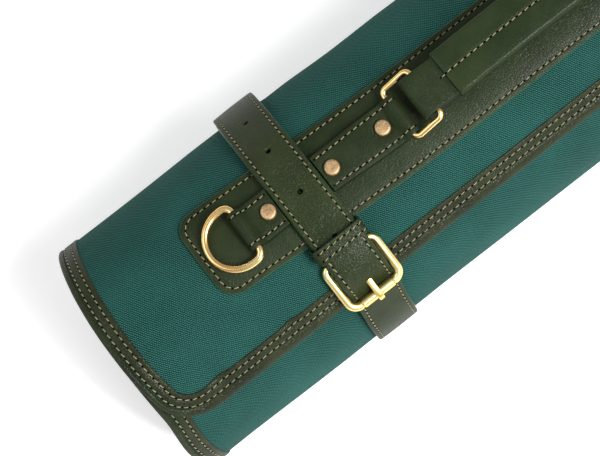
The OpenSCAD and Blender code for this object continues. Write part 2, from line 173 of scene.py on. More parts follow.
# where each begins along X and in degrees, its lean, width and last angle, and its depth in mm
CREASES = ((-0.1966, 20.5, 0.00064, 0.0036, 51, 2.6), (-0.2435, 8.0, 0.00048, 0.0048, 51, 2.2))


def crease(x, angle, start_x, start, lean, width, end, depth):
    """A crease round the roll from start to end degrees. It leans along X, metres a degree."""
    across = bump(x, start_x + (angle - start) * lean, width)
    return -depth * across * smooth((angle - start) / 5) * smooth((end - angle) / 12)


def hollow(x, angle):
    """The back sinks in between the belts."""
    far = np.abs(x)
    deep = 3.0 + 2.4 * smooth((0.112 - far) / 0.035) + 2.4 * smooth((0.055 - far) / 0.03)
    return -deep * smooth((0.134 - far) / 0.012) * bump(angle, -82, 19)


def ripple(x, angle):
    """How far the cloth stands off its smooth shape: slack between the belts."""
    wave = 0.5 * np.sin(x / 0.031 + 1.3 + angle / 37) + 0.35 * np.sin(x / 0.019 - angle / 23)
    wave = wave + 0.3 * np.sin(angle / 11 + x / 0.052)
    dent = 0.8 * bump(x, -0.2, 0.014) * bump(angle + x * 500, -75, 9)
    clear = smooth((np.abs(angle) - 26) / 16) * smooth((np.abs(np.abs(x) - BELT_X) - 0.014) / 0.02)
    ends = smooth((0.262 - np.abs(x)) / 0.03)
    under = smooth((np.cos(np.radians(angle)) + 0.6) / 0.4)
    front = (angle + 180) % 360 - 180
    folds = sum(crease(x, front, *values) for values in CREASES) + hollow(x, angle)
    return ((0.35 * wave * ends + dent) * clear + folds) * under * MM


FLAP_NARROWER = 2.6 * MM


def end_drift(turn):
    """How far the roll's ends stand out, as the turns lie a little unevenly."""
    out = 1.6 - 3.1 * smooth((turn - 0.14) / 0.2) + 7.0 * smooth((turn - 0.6) / 0.34)
    return (out - 3.2 * smooth((turn - 0.95) / 0.08)) * MM


def on_sheet(x, s, h):
    """A point over the sheet's outer face, s along it from the flap's edge."""
    x, s, h = np.broadcast_arrays(np.asarray(x, float), s, h)
    turn = turn_at(s)
    angle = FLAP_ANGLE - 360 * turn
    outer = smooth((1.35 - turn) / 0.2)
    out = end_drift(turn) - FLAP_NARROWER * (1 - smooth((s - 10 * MM) / (38 * MM)))
    x = x + np.sign(x) * smooth(np.abs(x) / 0.2) * out
    return at_angle(x, angle, sheet_r(turn) + h + ripple(x, angle) * outer)


def make(name, points, faces, materials, uv=None, slots=None, sharp=50):
    """A mesh piece from arrays: points (n, 3), faces as lists, uv (n, 2) in metres."""
    mesh = bpy.data.meshes.new(name)
    mesh.from_pydata(np.asarray(points, float).reshape(-1, 3).tolist(), [], faces)
    for m in materials:
        mesh.materials.append(m)
    if slots is not None:
        mesh.polygons.foreach_set("material_index", np.asarray(slots, np.int32))
    if uv is not None:
        layer = mesh.uv_layers.new(name="flat")
        loops = np.zeros(len(mesh.loops), np.int32)
        mesh.loops.foreach_get("vertex_index", loops)
        layer.data.foreach_set("uv", np.asarray(uv, float).reshape(-1, 2)[loops].ravel())
    bm = bmesh.new()
    bm.from_mesh(mesh)
    bmesh.ops.recalc_face_normals(bm, faces=bm.faces)
    bm.to_mesh(mesh)
    bm.free()
    mesh.polygons.foreach_set("use_smooth", np.ones(len(mesh.polygons), bool))
    mesh.set_sharp_from_angle(angle=math.radians(sharp))
    obj = bpy.data.objects.new(name, mesh)
    bpy.context.scene.collection.objects.link(obj)
    return obj


def quads(rows, columns, wrap_rows=False, wrap_columns=False):
    """Faces of a grid of points, row by row."""
    i, j = np.meshgrid(np.arange(rows if wrap_rows else rows - 1),
                       np.arange(columns if wrap_columns else columns - 1), indexing="ij")
    a, b = (i + 1) % rows, (j + 1) % columns
    faces = np.stack([i * columns + j, i * columns + b, a * columns + b, a * columns + j], -1)
    return faces.reshape(-1, 4)


def sweep(name, rings, materials, uv, painted=None, closed=False, sharp=50):
    """A tube of rings (stations, points, 3). painted marks the profile's painted segments."""
    stations, points = rings.shape[:2]
    faces = quads(stations, points, wrap_rows=closed, wrap_columns=True)
    slots = np.zeros(len(faces), int)
    if painted is not None:
        slots = np.tile(np.asarray(painted, int), len(faces) // points)
    faces, slots = faces.tolist(), slots.tolist()
    if not closed:
        faces += [list(range(points)), list(range((stations - 1) * points, stations * points))]
        slots += [0 if painted is None else 1] * 2
    return make(name, rings, faces, materials, uv, slots, sharp)


def slab(name, top, bottom, materials, uv):
    """A sheet with two faces: top and bottom are grids (rows, columns, 3)."""
    rows, columns = top.shape[:2]
    face = quads(rows, columns)
    count = rows * columns
    rim = np.concatenate([np.arange(columns), np.arange(1, rows) * columns + columns - 1,
                          (rows - 1) * columns + np.arange(columns - 2, -1, -1),
                          np.arange(rows - 2, 0, -1) * columns])
    after = np.roll(rim, -1)
    wall = np.stack([rim, after, after + count, rim + count], -1)
    faces = np.concatenate([face, face[:, ::-1] + count, wall]).tolist()
    return make(name, np.concatenate([top.reshape(-1, 3), bottom.reshape(-1, 3)]), faces,
                materials, np.concatenate([uv.reshape(-1, 2)] * 2))


def running(points):
    step = np.linalg.norm(np.diff(points, axis=0), axis=-1)
    return np.concatenate([[0], np.cumsum(step)])


# ---------------------------------------------------------------- strap profiles
def strap_profile(width, thick, rows, edge=0.55 * MM, dip=0.22 * MM):
    """Across, up and painted marks of a strap's outline, with a dip along each stitch row."""
    half = width / 2
    a = [-half, -half, -half + 0.3 * edge, -half + edge]
    b = [0.3 * thick, thick - edge, thick - 0.3 * edge, thick]
    painted = [1, 1, 0, 0]
    marks = []
    for row in rows:
        marks += [(row - 1.0 * MM, 0), (row - 0.45 * MM, dip / 2), (row, dip),
                  (row + 0.45 * MM, dip / 2), (row + 1.0 * MM, 0)]
    for at in np.linspace(-half + 5 * MM, half - 5 * MM, max(3, int((width - 10 * MM) / (2 * MM)))):
        if all(abs(at - row) > 1.4 * MM for row in rows):
            marks.append((at, 0))
    for at, depth in sorted(marks):
        a.append(at)
        b.append(thick - depth)
        painted.append(0)
    a += [half - edge, half - 0.3 * edge, half, half, half - 0.4 * MM, -half + 0.4 * MM]
    b += [thick, thick - 0.3 * edge, thick - edge, 0.3 * thick, 0, 0]
    painted += [0, 1, 1, 1, 0, 1]
    return np.array(a), np.array(b), np.array(painted)


def profile_length(a, b):
    step = np.hypot(np.diff(a), np.diff(b))
    return np.concatenate([[0], np.cumsum(step)])


def strap(name, place, along, width, thick, rows, materials):
    """A strap swept along a path. place(along, across, up) gives its points."""
    a, b, painted = strap_profile(width, thick, rows, 0.85 * MM)
    rings = place(along[:, None], a[None, :], b[None, :])
    run = running(place(along, np.zeros_like(along), np.full_like(along, thick)))
    return sweep(name, rings, materials, grid(run, profile_length(a, b)), painted)


# ---------------------------------------------------------------- materials
def material(name):
    m = bpy.data.materials.new(name)
    m.use_nodes = True
    return m, Nodes(m.node_tree)


class Nodes:
    """Short ways to add and join shader nodes."""

    def __init__(self, tree):
        self.tree = tree
        self.shader = tree.nodes["Principled BSDF"]

    def add(self, kind, **values):
        node = self.tree.nodes.new(kind)
        for key, value in values.items():
            setattr(node, key, value)
        return node

    def join(self, source, target):
        self.tree.links.new(source, target)

    def put(self, node, **inputs):
        for key, value in inputs.items():
            socket = node.inputs[key.replace("_", " ")]
            if isinstance(value, bpy.types.NodeSocket):
                self.join(value, socket)
            else:
                socket.default_value = value

    def math(self, operation, a, b=0.0):
        node = self.add("ShaderNodeMath", operation=operation)
        for socket, value in zip(node.inputs, (a, b)):
            if isinstance(value, bpy.types.NodeSocket):
                self.join(value, socket)
            else:
                socket.default_value = value
        return node.outputs[0]

    def total(self, *terms):
        """The sum of sockets, each given with its weight."""
        parts = [v if weight == 1 else self.math("MULTIPLY", v, weight) for v, weight in terms]
        result = parts[0]
        for part in parts[1:]:
            result = self.math("ADD", result, part)
        return result

    def flat(self):
        return self.add("ShaderNodeUVMap", uv_map="flat").outputs["UV"]

    def place(self):
        return self.add("ShaderNodeTexCoord").outputs["Object"]

    def noise(self, where, scale, detail=3.0, roughness=0.5):
        node = self.add("ShaderNodeTexNoise")
        self.put(node, Vector=where, Scale=scale, Detail=detail, Roughness=roughness)
        return node.outputs["Fac"]

    def cells(self, where, scale, feature="F1"):
        node = self.add("ShaderNodeTexVoronoi", feature=feature)
        self.put(node, Vector=where, Scale=scale)
        return node.outputs["Distance"]

    def ramp(self, value, *stops):
        node = self.add("ShaderNodeValToRGB")
        self.join(value, node.inputs["Fac"])
        elements = node.color_ramp.elements
        while len(elements) < len(stops):
            elements.new(0.5)
        for element, (at, colour) in zip(elements, stops):
            element.position = at
            element.color = (*colour, 1)
        return node.outputs["Color"]

    def span(self, value, low, high):
        node = self.add("ShaderNodeMapRange")
        self.put(node, Value=value)
        node.inputs["To Min"].default_value = low
        node.inputs["To Max"].default_value = high
        return node.outputs["Result"]

    def relief(self, height, strength, distance, under=None):
        node = self.add("ShaderNodeBump")
        self.put(node, Height=height, Strength=strength, Distance=distance)
        if under is not None:
            self.join(under, node.inputs["Normal"])
        return node.outputs["Normal"]

    def finish(self, colour, roughness, normal=None, **constants):
        self.put(self.shader, Base_Color=colour, Roughness=roughness)
        if normal is not None:
            self.join(normal, self.shader.inputs["Normal"])
        for key, value in constants.items():
            self.shader.inputs[key.replace("_", " ")].default_value = value


def cloth(name, dark, light, warp, weft, soft):
    """A plain weave seen as slanting ribs: crossings warp and weft apart, with uneven yarns."""
    m, n = material(name)
    where = n.flat()
    axes = n.add("ShaderNodeSeparateXYZ")
    wobble = n.math("MULTIPLY", n.noise(where, 300, 2), 1.6)
    n.join(where, axes.inputs[0])
    u = n.total((axes.outputs["X"], math.pi / warp), (wobble, 1))
    v = n.total((axes.outputs["Y"], math.pi / weft), (wobble, 1))
    rib = n.math("COSINE", n.math("ADD", u, v))
    cross = n.math("COSINE", n.math("SUBTRACT", u, v))
    yarn = n.math("COSINE", n.math("MULTIPLY", v, 2.0))
    weave = n.total((rib, 0.62), (cross, 0.3), (yarn, 0.4))
    slub = n.noise(where, 900, 2)
    patchy = n.noise(where, 22, 4, 0.6)
    tone = n.total((weave, 0.66), (slub, 0.5), (patchy, 0.5))
    colour = n.ramp(tone, (0.0, dark), (1.0, light))
    rough = n.span(patchy, 0.8, 0.95)
    height = n.total((weave, 1), (slub, 0.8))
    creases = n.relief(n.noise(where, 45, 3, 0.55), 0.4, 0.0014)
    n.finish(colour, rough, n.relief(height, 0.8, 0.00016, creases), Sheen_Weight=soft,
             Sheen_Roughness=0.5, Sheen_Tint=(0.3, 0.8, 0.7, 1), Specular_IOR_Level=0.08)
    return m


def leather(name, dark, light, rough=0.5, grain=0.5, gloss=0.3):
    """Grained leather: pores between small cells, soft creases, uneven dye and a waxed top."""
    m, n = material(name)
    cell = 900
    where = n.flat()
    warp = n.noise(where, 700, 2)
    pores = n.cells(where, cell, "DISTANCE_TO_EDGE")
    fine = n.noise(where, 2600, 3, 0.6)
    patchy = n.noise(where, 60, 5, 0.6)
    broad = n.noise(where, 14, 2)
    speckle = n.noise(where, 1400, 2, 0.6)
    tone = n.total((patchy, 0.6), (broad, 0.4), (warp, 0.12), (speckle, 0.3))
    colour = n.ramp(tone, (0.45, dark), (0.97, light))
    middle = n.cells(where, cell)
    dome = n.math("MULTIPLY", middle, middle)
    pit = n.math("MINIMUM", n.math("MULTIPLY", pores, 4.0), 0.5)
    height = n.total((pit, 1), (dome, -0.7), (fine, 0.3))
    soft = n.relief(n.noise(where, 130, 3, 0.55), 0.3, 0.0006)
    uneven = n.total((patchy, 0.6), (fine, 0.4))
    pebbles = n.relief(height, grain, 0.00022, soft)
    n.finish(colour, n.span(uneven, rough - 0.1, rough + 0.14), pebbles, Specular_IOR_Level=0.05,
             Coat_Weight=gloss, Coat_Roughness=0.2, Coat_IOR=2.0)
    n.join(pebbles, n.shader.inputs["Coat Normal"])
    return m


# Flat dyed finishes: the painted leather edges, and also the near-black painted shade used for the needle
# holes and the belt's holes.
def edge_paint_and_shade(name, colour, shine=0.25):
    m, n = material(name)
    where = n.flat()
    tone = n.noise(where, 180, 3)
    darker = tuple(c * 0.7 for c in colour)
    n.finish(n.ramp(tone, (0.3, darker), (0.7, colour)), n.span(tone, 0.35, 0.5),
             n.relief(n.noise(where, 900, 2), 0.2, 0.0002), Specular_IOR_Level=shine)
    return m


def brass(name, dark, light, rough, mottle=60.0, scratch=0.12):
    """Aged brass: uneven tarnish and fine rubbing marks."""
    m, n = material(name)
    where = n.place()
    stretch = n.add("ShaderNodeMapping")
    stretch.inputs["Scale"].default_value = (1, 6, 6)
    n.join(where, stretch.inputs["Vector"])
    rubbed = n.noise(stretch.outputs["Vector"], 500, 3, 0.6)
    tarnish = n.noise(where, mottle, 4, 0.6)
    colour = n.ramp(tarnish, (0.32, dark), (0.62, light))
    uneven = n.total((tarnish, 0.5), (rubbed, 0.5))
    n.finish(colour, n.span(uneven, rough - 0.06, rough + 0.12),
             n.relief(rubbed, scratch, 0.0001), Metallic=1.0, Specular_Tint=(0.7, 0.4, 0.18, 1))
    return m


def rivet_metal(name, dark, light):
    m, n = material(name)
    where = n.place()
    speckle = n.noise(where, 1300, 3, 0.65)
    tarnish = n.noise(where, 260, 3)
    tone = n.total((speckle, 0.6), (tarnish, 0.4))
    n.finish(n.ramp(tone, (0.36, dark), (0.6, light)), n.span(tone, 0.42, 0.62),
             n.relief(speckle, 0.5, 0.00025), Metallic=0.85)
    return m


def thread_material(name, dark, light):
    m, n = material(name)
    where = n.place()
    tone = n.noise(where, 1500, 3)
    n.finish(n.ramp(tone, (0.3, dark), (0.7, light)), n.span(tone, 0.5, 0.7),
             n.relief(tone, 0.5, 0.0002), Sheen_Weight=0.1)
    return m


CANVAS = cloth("canvas_weave", (0.000, 0.002, 0.001), (0.028, 0.130, 0.110), 0.61 * MM, 0.97 * MM,
               0.06)
LINING = cloth("lining_weave", (0.008, 0.016, 0.010), (0.04, 0.062, 0.042), 0.5 * MM, 0.5 * MM, 0.05)
BINDING = leather("binding_leather", (0.003, 0.006, 0.0015), (0.032, 0.042, 0.015), 0.46, 1.0,
                  gloss=0.1)
TRIM = leather("trim_leather", (0.007, 0.0125, 0.004), (0.029, 0.041, 0.0165), 0.52, 0.5, gloss=0.05)
BELT = leather("belt_leather", (0.008, 0.0145, 0.003), (0.031, 0.0435, 0.0145), 0.5, 0.9, gloss=0.1)
GRIP = leather("handle_leather", (0.008, 0.015, 0.0045), (0.027, 0.039, 0.015), 0.48, 0.3, gloss=0.07)
EDGE = edge_paint_and_shade("leather_edge", (0.020, 0.062, 0.022))
DARK_EDGE = edge_paint_and_shade("dark_edge", (0.007, 0.016, 0.006))
THREAD = thread_material("waxed_thread", (0.16, 0.13, 0.07), (0.42, 0.36, 0.21))
# Near-black painted shade, standing in for the shadow inside the needle holes and the belt's holes.
HOLE_SHADE = edge_paint_and_shade("painted_hole_shade", (0.0012, 0.0015, 0.001), 0.0)
BUCKLE = brass("buckle_brass", (0.95, 0.68, 0.24), (1.0, 0.88, 0.4), 0.27, scratch=0.03)
RING = brass("ring_brass", (0.86, 0.5, 0.18), (1.0, 0.82, 0.4), 0.22, 30, 0.02)
RIVET = rivet_metal("rivet_brass", (0.24, 0.14, 0.06), (0.62, 0.43, 0.24))


# ---------------------------------------------------------------- stitches
def stitch_shape():
    """A thread's unit shape: along, across and up, with its ends let down into the leather."""
    rings = [(-1, 0.35, -0.9), (-0.8, 0.9, 0.0), (-0.35, 1, 0.55), (0.35, 1, 0.55),
             (0.8, 0.9, 0.0), (1, 0.35, -0.9)]
    turn = np.arange(6) * math.pi / 3
    points = [[(l, w * math.cos(t), up + w * math.sin(t) * 0.9) for t in turn] for l, w, up in rings]
    return np.array(points).reshape(-1, 3), quads(6, 6, wrap_columns=True)


# The shape of a small dot, drawn near-black at each needle hole as painted shade.
def dot_shape():
    turn = whole_turn(8)
    ring = np.stack([np.cos(turn), np.sin(turn), np.zeros(8)], -1)
    points = np.concatenate([ring + [0, 0, -1], ring * [0.8, 0.8, 0] + [0, 0, 0.6],
                             [[0, 0, 0.8]]])
    faces = quads(2, 8, wrap_columns=True).tolist()
    return points, faces + [[8 + i, 8 + (i + 1) % 8, 16] for i in range(8)]


def stitches(name, rows, body, slant=9.0):
    """Rows of stitches along (points, normals) lines, with near-black dots of painted shade at the needle's
    holes between them.
    """
    length, wide, hole = 0.66, 0.23 * MM, 0.68 * MM
    shape, shape_faces = stitch_shape()
    dot, dot_faces = dot_shape()
    parts, faces, slots, base = [], [], [], 0
    for points, normals in rows:
        run = running(points)
        count = max(1, int(round(run[-1] / STITCH_PITCH)))
        pitch = run[-1] / count
        pick = [np.interp(np.arange(2 * count + 1) * pitch / 2, run, points[:, k]) for k in range(3)]
        ends = np.stack(pick, -1)
        up = np.stack([np.interp(np.arange(2 * count + 1) * pitch / 2, run, normals[:, k])
                       for k in range(3)], -1)
        up = unit(up)
        # The dots take slot 1, the near-black painted shade for the needle holes.
        for shape_in, shape_face, at, slot, size in (
                (shape, shape_faces, slice(1, None, 2), 0, (pitch / 2 * length, wide, 0.25 * MM)),
                (dot, dot_faces, slice(0, None, 2), 1, (hole, 0.8 * hole, 0.32 * MM))):
            centre, n = ends[at], up[at]
            ahead = np.gradient(ends, axis=0)[at]
            ahead = unit(ahead - n * (ahead * n).sum(1)[:, None])
            side = np.cross(n, ahead)
            tilt = math.radians(slant)
            d = ahead * math.cos(tilt) + side * math.sin(tilt)
            across = np.cross(n, d)
            local = shape_in * np.array(size)
            mesh = (centre[:, None] + local[None, :, :1] * d[:, None]
                    + local[None, :, 1:2] * across[:, None] + local[None, :, 2:] * n[:, None])
            parts.append(mesh.reshape(-1, 3))
            for i in range(len(centre)):
                faces += [[v + base + i * len(shape_in) for v in f] for f in shape_face]
            slots += [slot] * (len(centre) * len(shape_face))
            base += len(centre) * len(shape_in)
    obj = make(name, np.concatenate(parts), faces, [THREAD, HOLE_SHADE], None, slots, 80)
    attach(obj, body)


def row(place, u, v, h):
    """A stitch row's points and normals on a surface given by place(u, v, h)."""
    u, v = np.broadcast_arrays(np.asarray(u, float), np.asarray(v, float))
    low, high = place(u, v, h), place(u, v, h + MM)
    return low, high - low


# ---------------------------------------------------------------- the sheet
def corner_cut(s, radius):
    """How far a round corner pulls the outline in, s from the edge."""
    left = np.clip(radius - s, 0, radius)
    return radius - np.sqrt(np.maximum(radius ** 2 - left ** 2, 0))


SHEET_INSET = 1.6 * MM               # how far the sheet ends inside its binding


def sheet_half(s):
    cut = corner_cut(s, FLAP_CORNER_R) + corner_cut(SHEET_LEN - s, INNER_CORNER_R)
    return HALF_LEN - SHEET_INSET - cut


def sheet_grid(low, high):
    """The sheet's faces at two heights, and where their points lie on the flat sheet."""
    step_x, step_s = 2.6 * MM, 2.4 * MM
    end = SHEET_LEN - SHEET_INSET
    rows = int((end - SHEET_INSET) / step_s) + 1
    columns = int(2 * HALF_LEN / step_x) + 1
    s = np.linspace(SHEET_INSET, end, rows)[:, None]
    x = np.linspace(-1, 1, columns)[None, :] * sheet_half(s)
    uv = np.stack(np.broadcast_arrays(x, s), -1)
    return on_sheet(x, s, high), on_sheet(x, s, low), uv


def make_sheets():
    top, bottom, uv = sheet_grid(-CANVAS_T, 0)
    outer = slab("canvas_sheet", top, bottom, [CANVAS], uv)
    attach(outer, "roll")
    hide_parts("outer_canvas")
    top, bottom, uv = sheet_grid(-SHEET_T, -CANVAS_T)
    inner = slab("lining_sheet", top, bottom, [LINING], uv)
    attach(inner, "roll")
    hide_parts("lining")
    for name, node, cloth_used in (("pocket_cloth", "pocket_panel", LINING),
                                   ("tool_flap_cloth", "tool_flap", CANVAS)):
        make_panel(name, node, cloth_used)


def make_panel(name, node, cloth_used):
    low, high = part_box(node)
    start, end = (float(np.interp(t, turn_table, length_table)) for t in (1.06, TURNS - 0.055))
    rows, columns = int((end - start) / (3 * MM)), 50
    s = np.linspace(start, end, rows)[:, None]
    x = np.linspace(low[0], high[0], columns)[None, :]
    uv = np.stack(np.broadcast_arrays(x, s), -1)
    panel = slab(name, on_sheet(x, s, -SHEET_T), on_sheet(x, s, -SHEET_T - PANEL_T), [cloth_used], uv)
    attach(panel, "roll")
    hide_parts(node)


# ---------------------------------------------------------------- the binding
def binding_profile(width):
    """Inward distance from the sheet's edge and height of the binding's outline."""
    groove = ROW_B + 1.5 * MM
    reach = (width - groove) * 0.56
    middle = width - reach
    thick = SHEET_T / 2 + BIND_T + 0.12 * MM
    e = [0.0, 0.12, 0.5, 1.6, 2.2, 2.65, 3.1, 3.55, 4.0, 5.2, 6.4, 6.85, 7.3, 7.75, 8.2]
    h = [0.1, 0.6, 0.8, 0.86, 0.8, 0.62, 0.55, 0.62, 0.8, 0.86, 0.8, 0.6, 0.52, 0.58, 0.5]
    e, h = [v * MM for v in e], [v * MM for v in h]
    for t in np.linspace(-0.86, 1, 11):
        angle = t * math.pi / 2
        e.append(middle + reach * math.sin(angle))
        h.append(-SHEET_T / 2 + thick * math.cos(angle) ** 0.8)
    for t in np.linspace(0.2, 1, 5):
        angle = t * math.pi / 2
        e.append(middle + reach * math.cos(angle))
        h.append(-SHEET_T / 2 - thick * math.sin(angle) ** 0.8)
    low = -SHEET_T - BIND_T
    e += [groove, 5 * MM, 0.6 * MM, 0.1 * MM]
    h += [low + 0.1 * MM, low, low, low + 0.4 * MM]
    return width - np.array(e), np.array(h)


def outline():
    """The sheet's outline, as stations with their inward direction and binding width.
    It runs from the middle of the flap's edge round the left corner to the inner end."""
    flap, inner = FLAP_CORNER_R, INNER_CORNER_R
    stations = []
    for x in np.linspace(0, -HALF_LEN + flap, 90, endpoint=False):
        stations.append((x, 0, 0, 1, FLAP_BIND_W, 0))
    for a in np.linspace(0, 90, 22, endpoint=False):
        s, c = sin_cos(a)
        stations.append((-HALF_LEN + flap - flap * s, flap - flap * c, s, c,
                         mix(FLAP_BIND_W, END_BIND_W, smooth(a / 90)), 0 if a < 45 else 1))
    for t in np.linspace(flap, SHEET_LEN - inner, 300, endpoint=False):
        stations.append((-HALF_LEN, t, 1, 0, END_BIND_W, 1))
    for a in np.linspace(0, 90, 14, endpoint=False):
        s, c = sin_cos(a)
        stations.append((-HALF_LEN + inner - inner * c, SHEET_LEN - inner + inner * s, c, -s,
                         END_BIND_W, 1 if a < 45 else 2))
    for x in np.linspace(-HALF_LEN + inner, 0, 90):
        stations.append((x, SHEET_LEN, 0, -1, END_BIND_W, 2))
    return np.array(stations)


def binding_at(stations, inward, h):
    x = stations[:, 0][:, None] + stations[:, 2][:, None] * inward
    s = stations[:, 1][:, None] + stations[:, 3][:, None] * inward
    return on_sheet(x, s, h)


def binding_piece(name, node, stations, side):
    profiles = np.array([binding_profile(width) for width in stations[:, 4]])
    points = binding_at(stations, profiles[:, 0], profiles[:, 1])
    points[..., 0] *= side
    run = running(points[:, 10])
    across = profile_length(*binding_profile(END_BIND_W))
    uv = grid(run, across)
    piece = sweep(name, points, [BINDING], uv, sharp=70)
    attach(piece, "roll")
    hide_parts(node)


def binding_rows(stations, side):
    rows = []
    for from_inner, depth in ((ROW_A, 0.55 * MM), (ROW_B, 0.52 * MM)):
        inward = (stations[:, 4] - from_inner)[:, None]
        low = binding_at(stations, inward, depth)[:, 0]
        high = binding_at(stations, inward, depth + MM)[:, 0]
        normal = high - low
        low[:, 0] *= side
        normal[:, 0] *= side
        rows.append((low, normal))
    return rows


def make_bindings():
    """The binding is drawn for the left half, and mirrored for the right. The two long edges
    are swept in one length each."""
    stations = outline()
    parts = [stations[stations[:, 5] == k] for k in range(3)]
    for k in range(2):
        parts[k] = np.concatenate([parts[k], parts[k + 1][:1]])
    for side, name in ((1, "left"), (-1, "right")):
        binding_piece(f"binding_{name}_leather", f"binding_{name}_end", parts[1], side)
        stitches(f"binding_{name}_stitches", binding_rows(parts[1], side), "roll")
    for k, name, node in ((0, "flap", "binding_flap_edge"), (2, "inner", "binding_inner_edge")):
        half = parts[k]
        other = half[::-1].copy()
        other[:, 0] *= -1
        other[:, 2] *= -1
        order = [other, half[1:]] if k == 0 else [half[:-1], other]
        whole = np.concatenate(order)
        binding_piece(f"binding_{name}_leather", node, whole, 1)
        stitches(f"binding_{name}_stitches", binding_rows(whole, 1), "roll")


# ---------------------------------------------------------------- the patch
PATCH_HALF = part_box("handle_patch")[1][0]
PATCH_WIDE = math.radians(20.9) * ROLL_R


def patch_middle(x):
    """The patch lies a little askew: its middle line drifts to the front from its ends."""
    return mix(0.3, 4.3, smooth((0.197 - np.abs(x)) / 0.13))


def on_patch(x, a, h):
    end = smooth((np.abs(x) - 0.14) / 0.055)
    wider = 1 + end * np.where(a < 0, 0.05, -0.05)
    angle = patch_middle(x) + np.degrees(a / ROLL_R) * wider
    return at_angle(x, angle, ROLL_R + PATCH_GAP + h)


def rounded_outline(half_x, half_y, radius, inset, spacing=3 * MM):
    """Points round a rounded rectangle, the same number at every inset."""
    counts = [max(4, int(2 * (half_x - radius) / spacing)), max(4, int(2 * (half_y - radius) / spacing))]
    r = max(radius - inset, 0)
    hx, hy = half_x - inset, half_y - inset
    points = []
    for k in range(4):
        sx, sy = ((1, -1), (1, 1), (-1, 1), (-1, -1))[k]
        for a in np.linspace(-90, 0, 10) + 90 * k:
            points.append((sx * (hx - r) + r * math.cos(math.radians(a)),
                           sy * (hy - r) + r * math.sin(math.radians(a))))
        nx, ny = ((1, 1), (-1, 1), (-1, -1), (1, -1))[k]
        start = points[-1]
        a = math.radians(90 * k)
        end = (nx * (hx - r) + r * math.cos(a), ny * (hy - r) + r * math.sin(a))
        count = counts[1 if k % 2 == 0 else 0]
        for t in np.linspace(0, 1, count + 1)[1:-1]:
            points.append((mix(start[0], end[0], t), mix(start[1], end[1], t)))
    return np.array(points)


def make_patch():
    t = PATCH_T
    insets = [(0.5, 0), (0.0, 0.25), (0.0, 0.75), (0.15, 0.92), (0.5, 1), (1.6, 1), (2.4, 0.99),
              (2.8, 0.9), (3.2, 0.86), (3.6, 0.9), (4.1, 0.99), (6, 1), (9, 1), (13, 1), (18, 1),
              (PATCH_WIDE / MM - 0.05, 1)]
    rings = [rounded_outline(PATCH_HALF, PATCH_WIDE, PATCH_CORNER_R, i * MM) for i, _ in insets]
    points = np.array([on_patch(r[:, 0], r[:, 1], up * t) for r, (_, up) in zip(rings, insets)])
    count = points.shape[1]
    faces = quads(len(insets), count, wrap_columns=True)
    slots = np.where(faces[:, 0] // count < 4, 1, 0).tolist()
    faces = faces.tolist() + [list(range(count))]
    slots.append(0)
    uv = np.array(rings)
    piece = make("patch_leather", points, faces, [TRIM, EDGE], uv, slots)
    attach(piece, "roll")
    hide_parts("handle_patch")
    line = rounded_outline(PATCH_HALF, PATCH_WIDE, PATCH_CORNER_R, 3.2 * MM, 1.5 * MM)
    line = np.concatenate([line, line[:1]])
    stitches("patch_stitches", [row(on_patch, line[:, 0], line[:, 1], 0.87 * t)], "roll")


# ---------------------------------------------------------------- the belts
def belt_bed(angle):
    on_patch_share = 1 - smooth((np.abs(angle - 2.5) - 20.5) / 16)
    return ROLL_R + BELT_LAY + PATCH_T * on_patch_share


HEEL_R, FOLD_R = 1.5 * MM, 3.6 * MM
OVER_R = HEEL_AT + FOLD_R + 0.2 * MM
UNDER_R = ROLLER_AT - 2.8 * MM - BELT_T
TAIL_SHIFT = -1.3 * MM


def billet_r(angle):
    on_strap = belt_bed(angle) + BELT_T + 0.15 * MM
    rise, dive = smooth((angle - 17) / 14), smooth((angle - 41) / (ROLLER_ANGLE - 41))
    settle = smooth((angle - ROLLER_ANGLE - 1) / 14)
    r = np.where(angle < ROLLER_ANGLE, mix(OVER_R, UNDER_R, dive),
                 mix(UNDER_R, ROLL_R + BELT_LAY, settle))
    return np.where(angle < HEEL_ANGLE, mix(on_strap, OVER_R, rise), r)


def crown(angle):
    """How far the billet bulges along its middle, inside the buckle."""
    return 0.9 * MM * bump(angle, 37, 6) + 0.25 * MM


def on_billet(side):
    def place(angle, across, up):
        rise = crown(angle) * (1 - (2 * across / BELT_W) ** 2) * (up / BELT_T)
        middle = BELT_X - TAIL_SHIFT * smooth((angle - 53) / 25)
        return at_angle(side * (middle - across), angle, billet_r(angle) + up + rise)
    return place


def on_strap(side):
    def place(angle, across, up):
        return at_angle(side * (BELT_X - STRAP_SHIFT) - side * across, angle, belt_bed(angle) + up)
    return place


def cut(obj, cutters):
    """Cuts closed shapes out of a piece."""
    for cutter in cutters:
        modifier = obj.modifiers.new("cut", "BOOLEAN")
        modifier.operation = "DIFFERENCE"
        modifier.solver = "EXACT"
        modifier.object = cutter
    bpy.context.view_layer.update()
    mesh = bpy.data.meshes.new_from_object(obj.evaluated_get(bpy.context.evaluated_depsgraph_get()))
    obj.modifiers.clear()
    obj.data = mesh
    for cutter in cutters:
        bpy.data.objects.remove(cutter)


def hole_cutter(centre, normal, radius):
    """A round prism, for a hole through a belt."""
    depth = 8 * MM
    normal = Vector(normal).normalized()
    x = Vector((1, 0, 0))
    y = normal.cross(x)
    points = []
    for end in (-depth / 2, depth / 2):
        for k in range(28):
            a = k / 28 * 2 * math.pi
            across, along = radius * math.cos(a), radius * math.sin(a)
            points.append(Vector(centre) + x * across + y * along + normal * end)
    faces = quads(2, 28, wrap_columns=True).tolist() + [list(range(28)), list(range(28, 56))]
    # Its near-black material passes into the hole's walls when the hole is cut, as painted shade inside the
    # hole.
    cutter = make("cutter", np.array(points), faces, [HOLE_SHADE], np.zeros((56, 2)))
    cutter.hide_render = True
    return cutter


HOLE_STEP, TONGUE_HOLE = 21.1, 45.1
TAIL_ANGLE, BILLET_START, STRAP_END = -100.0, 231.0, -125.0


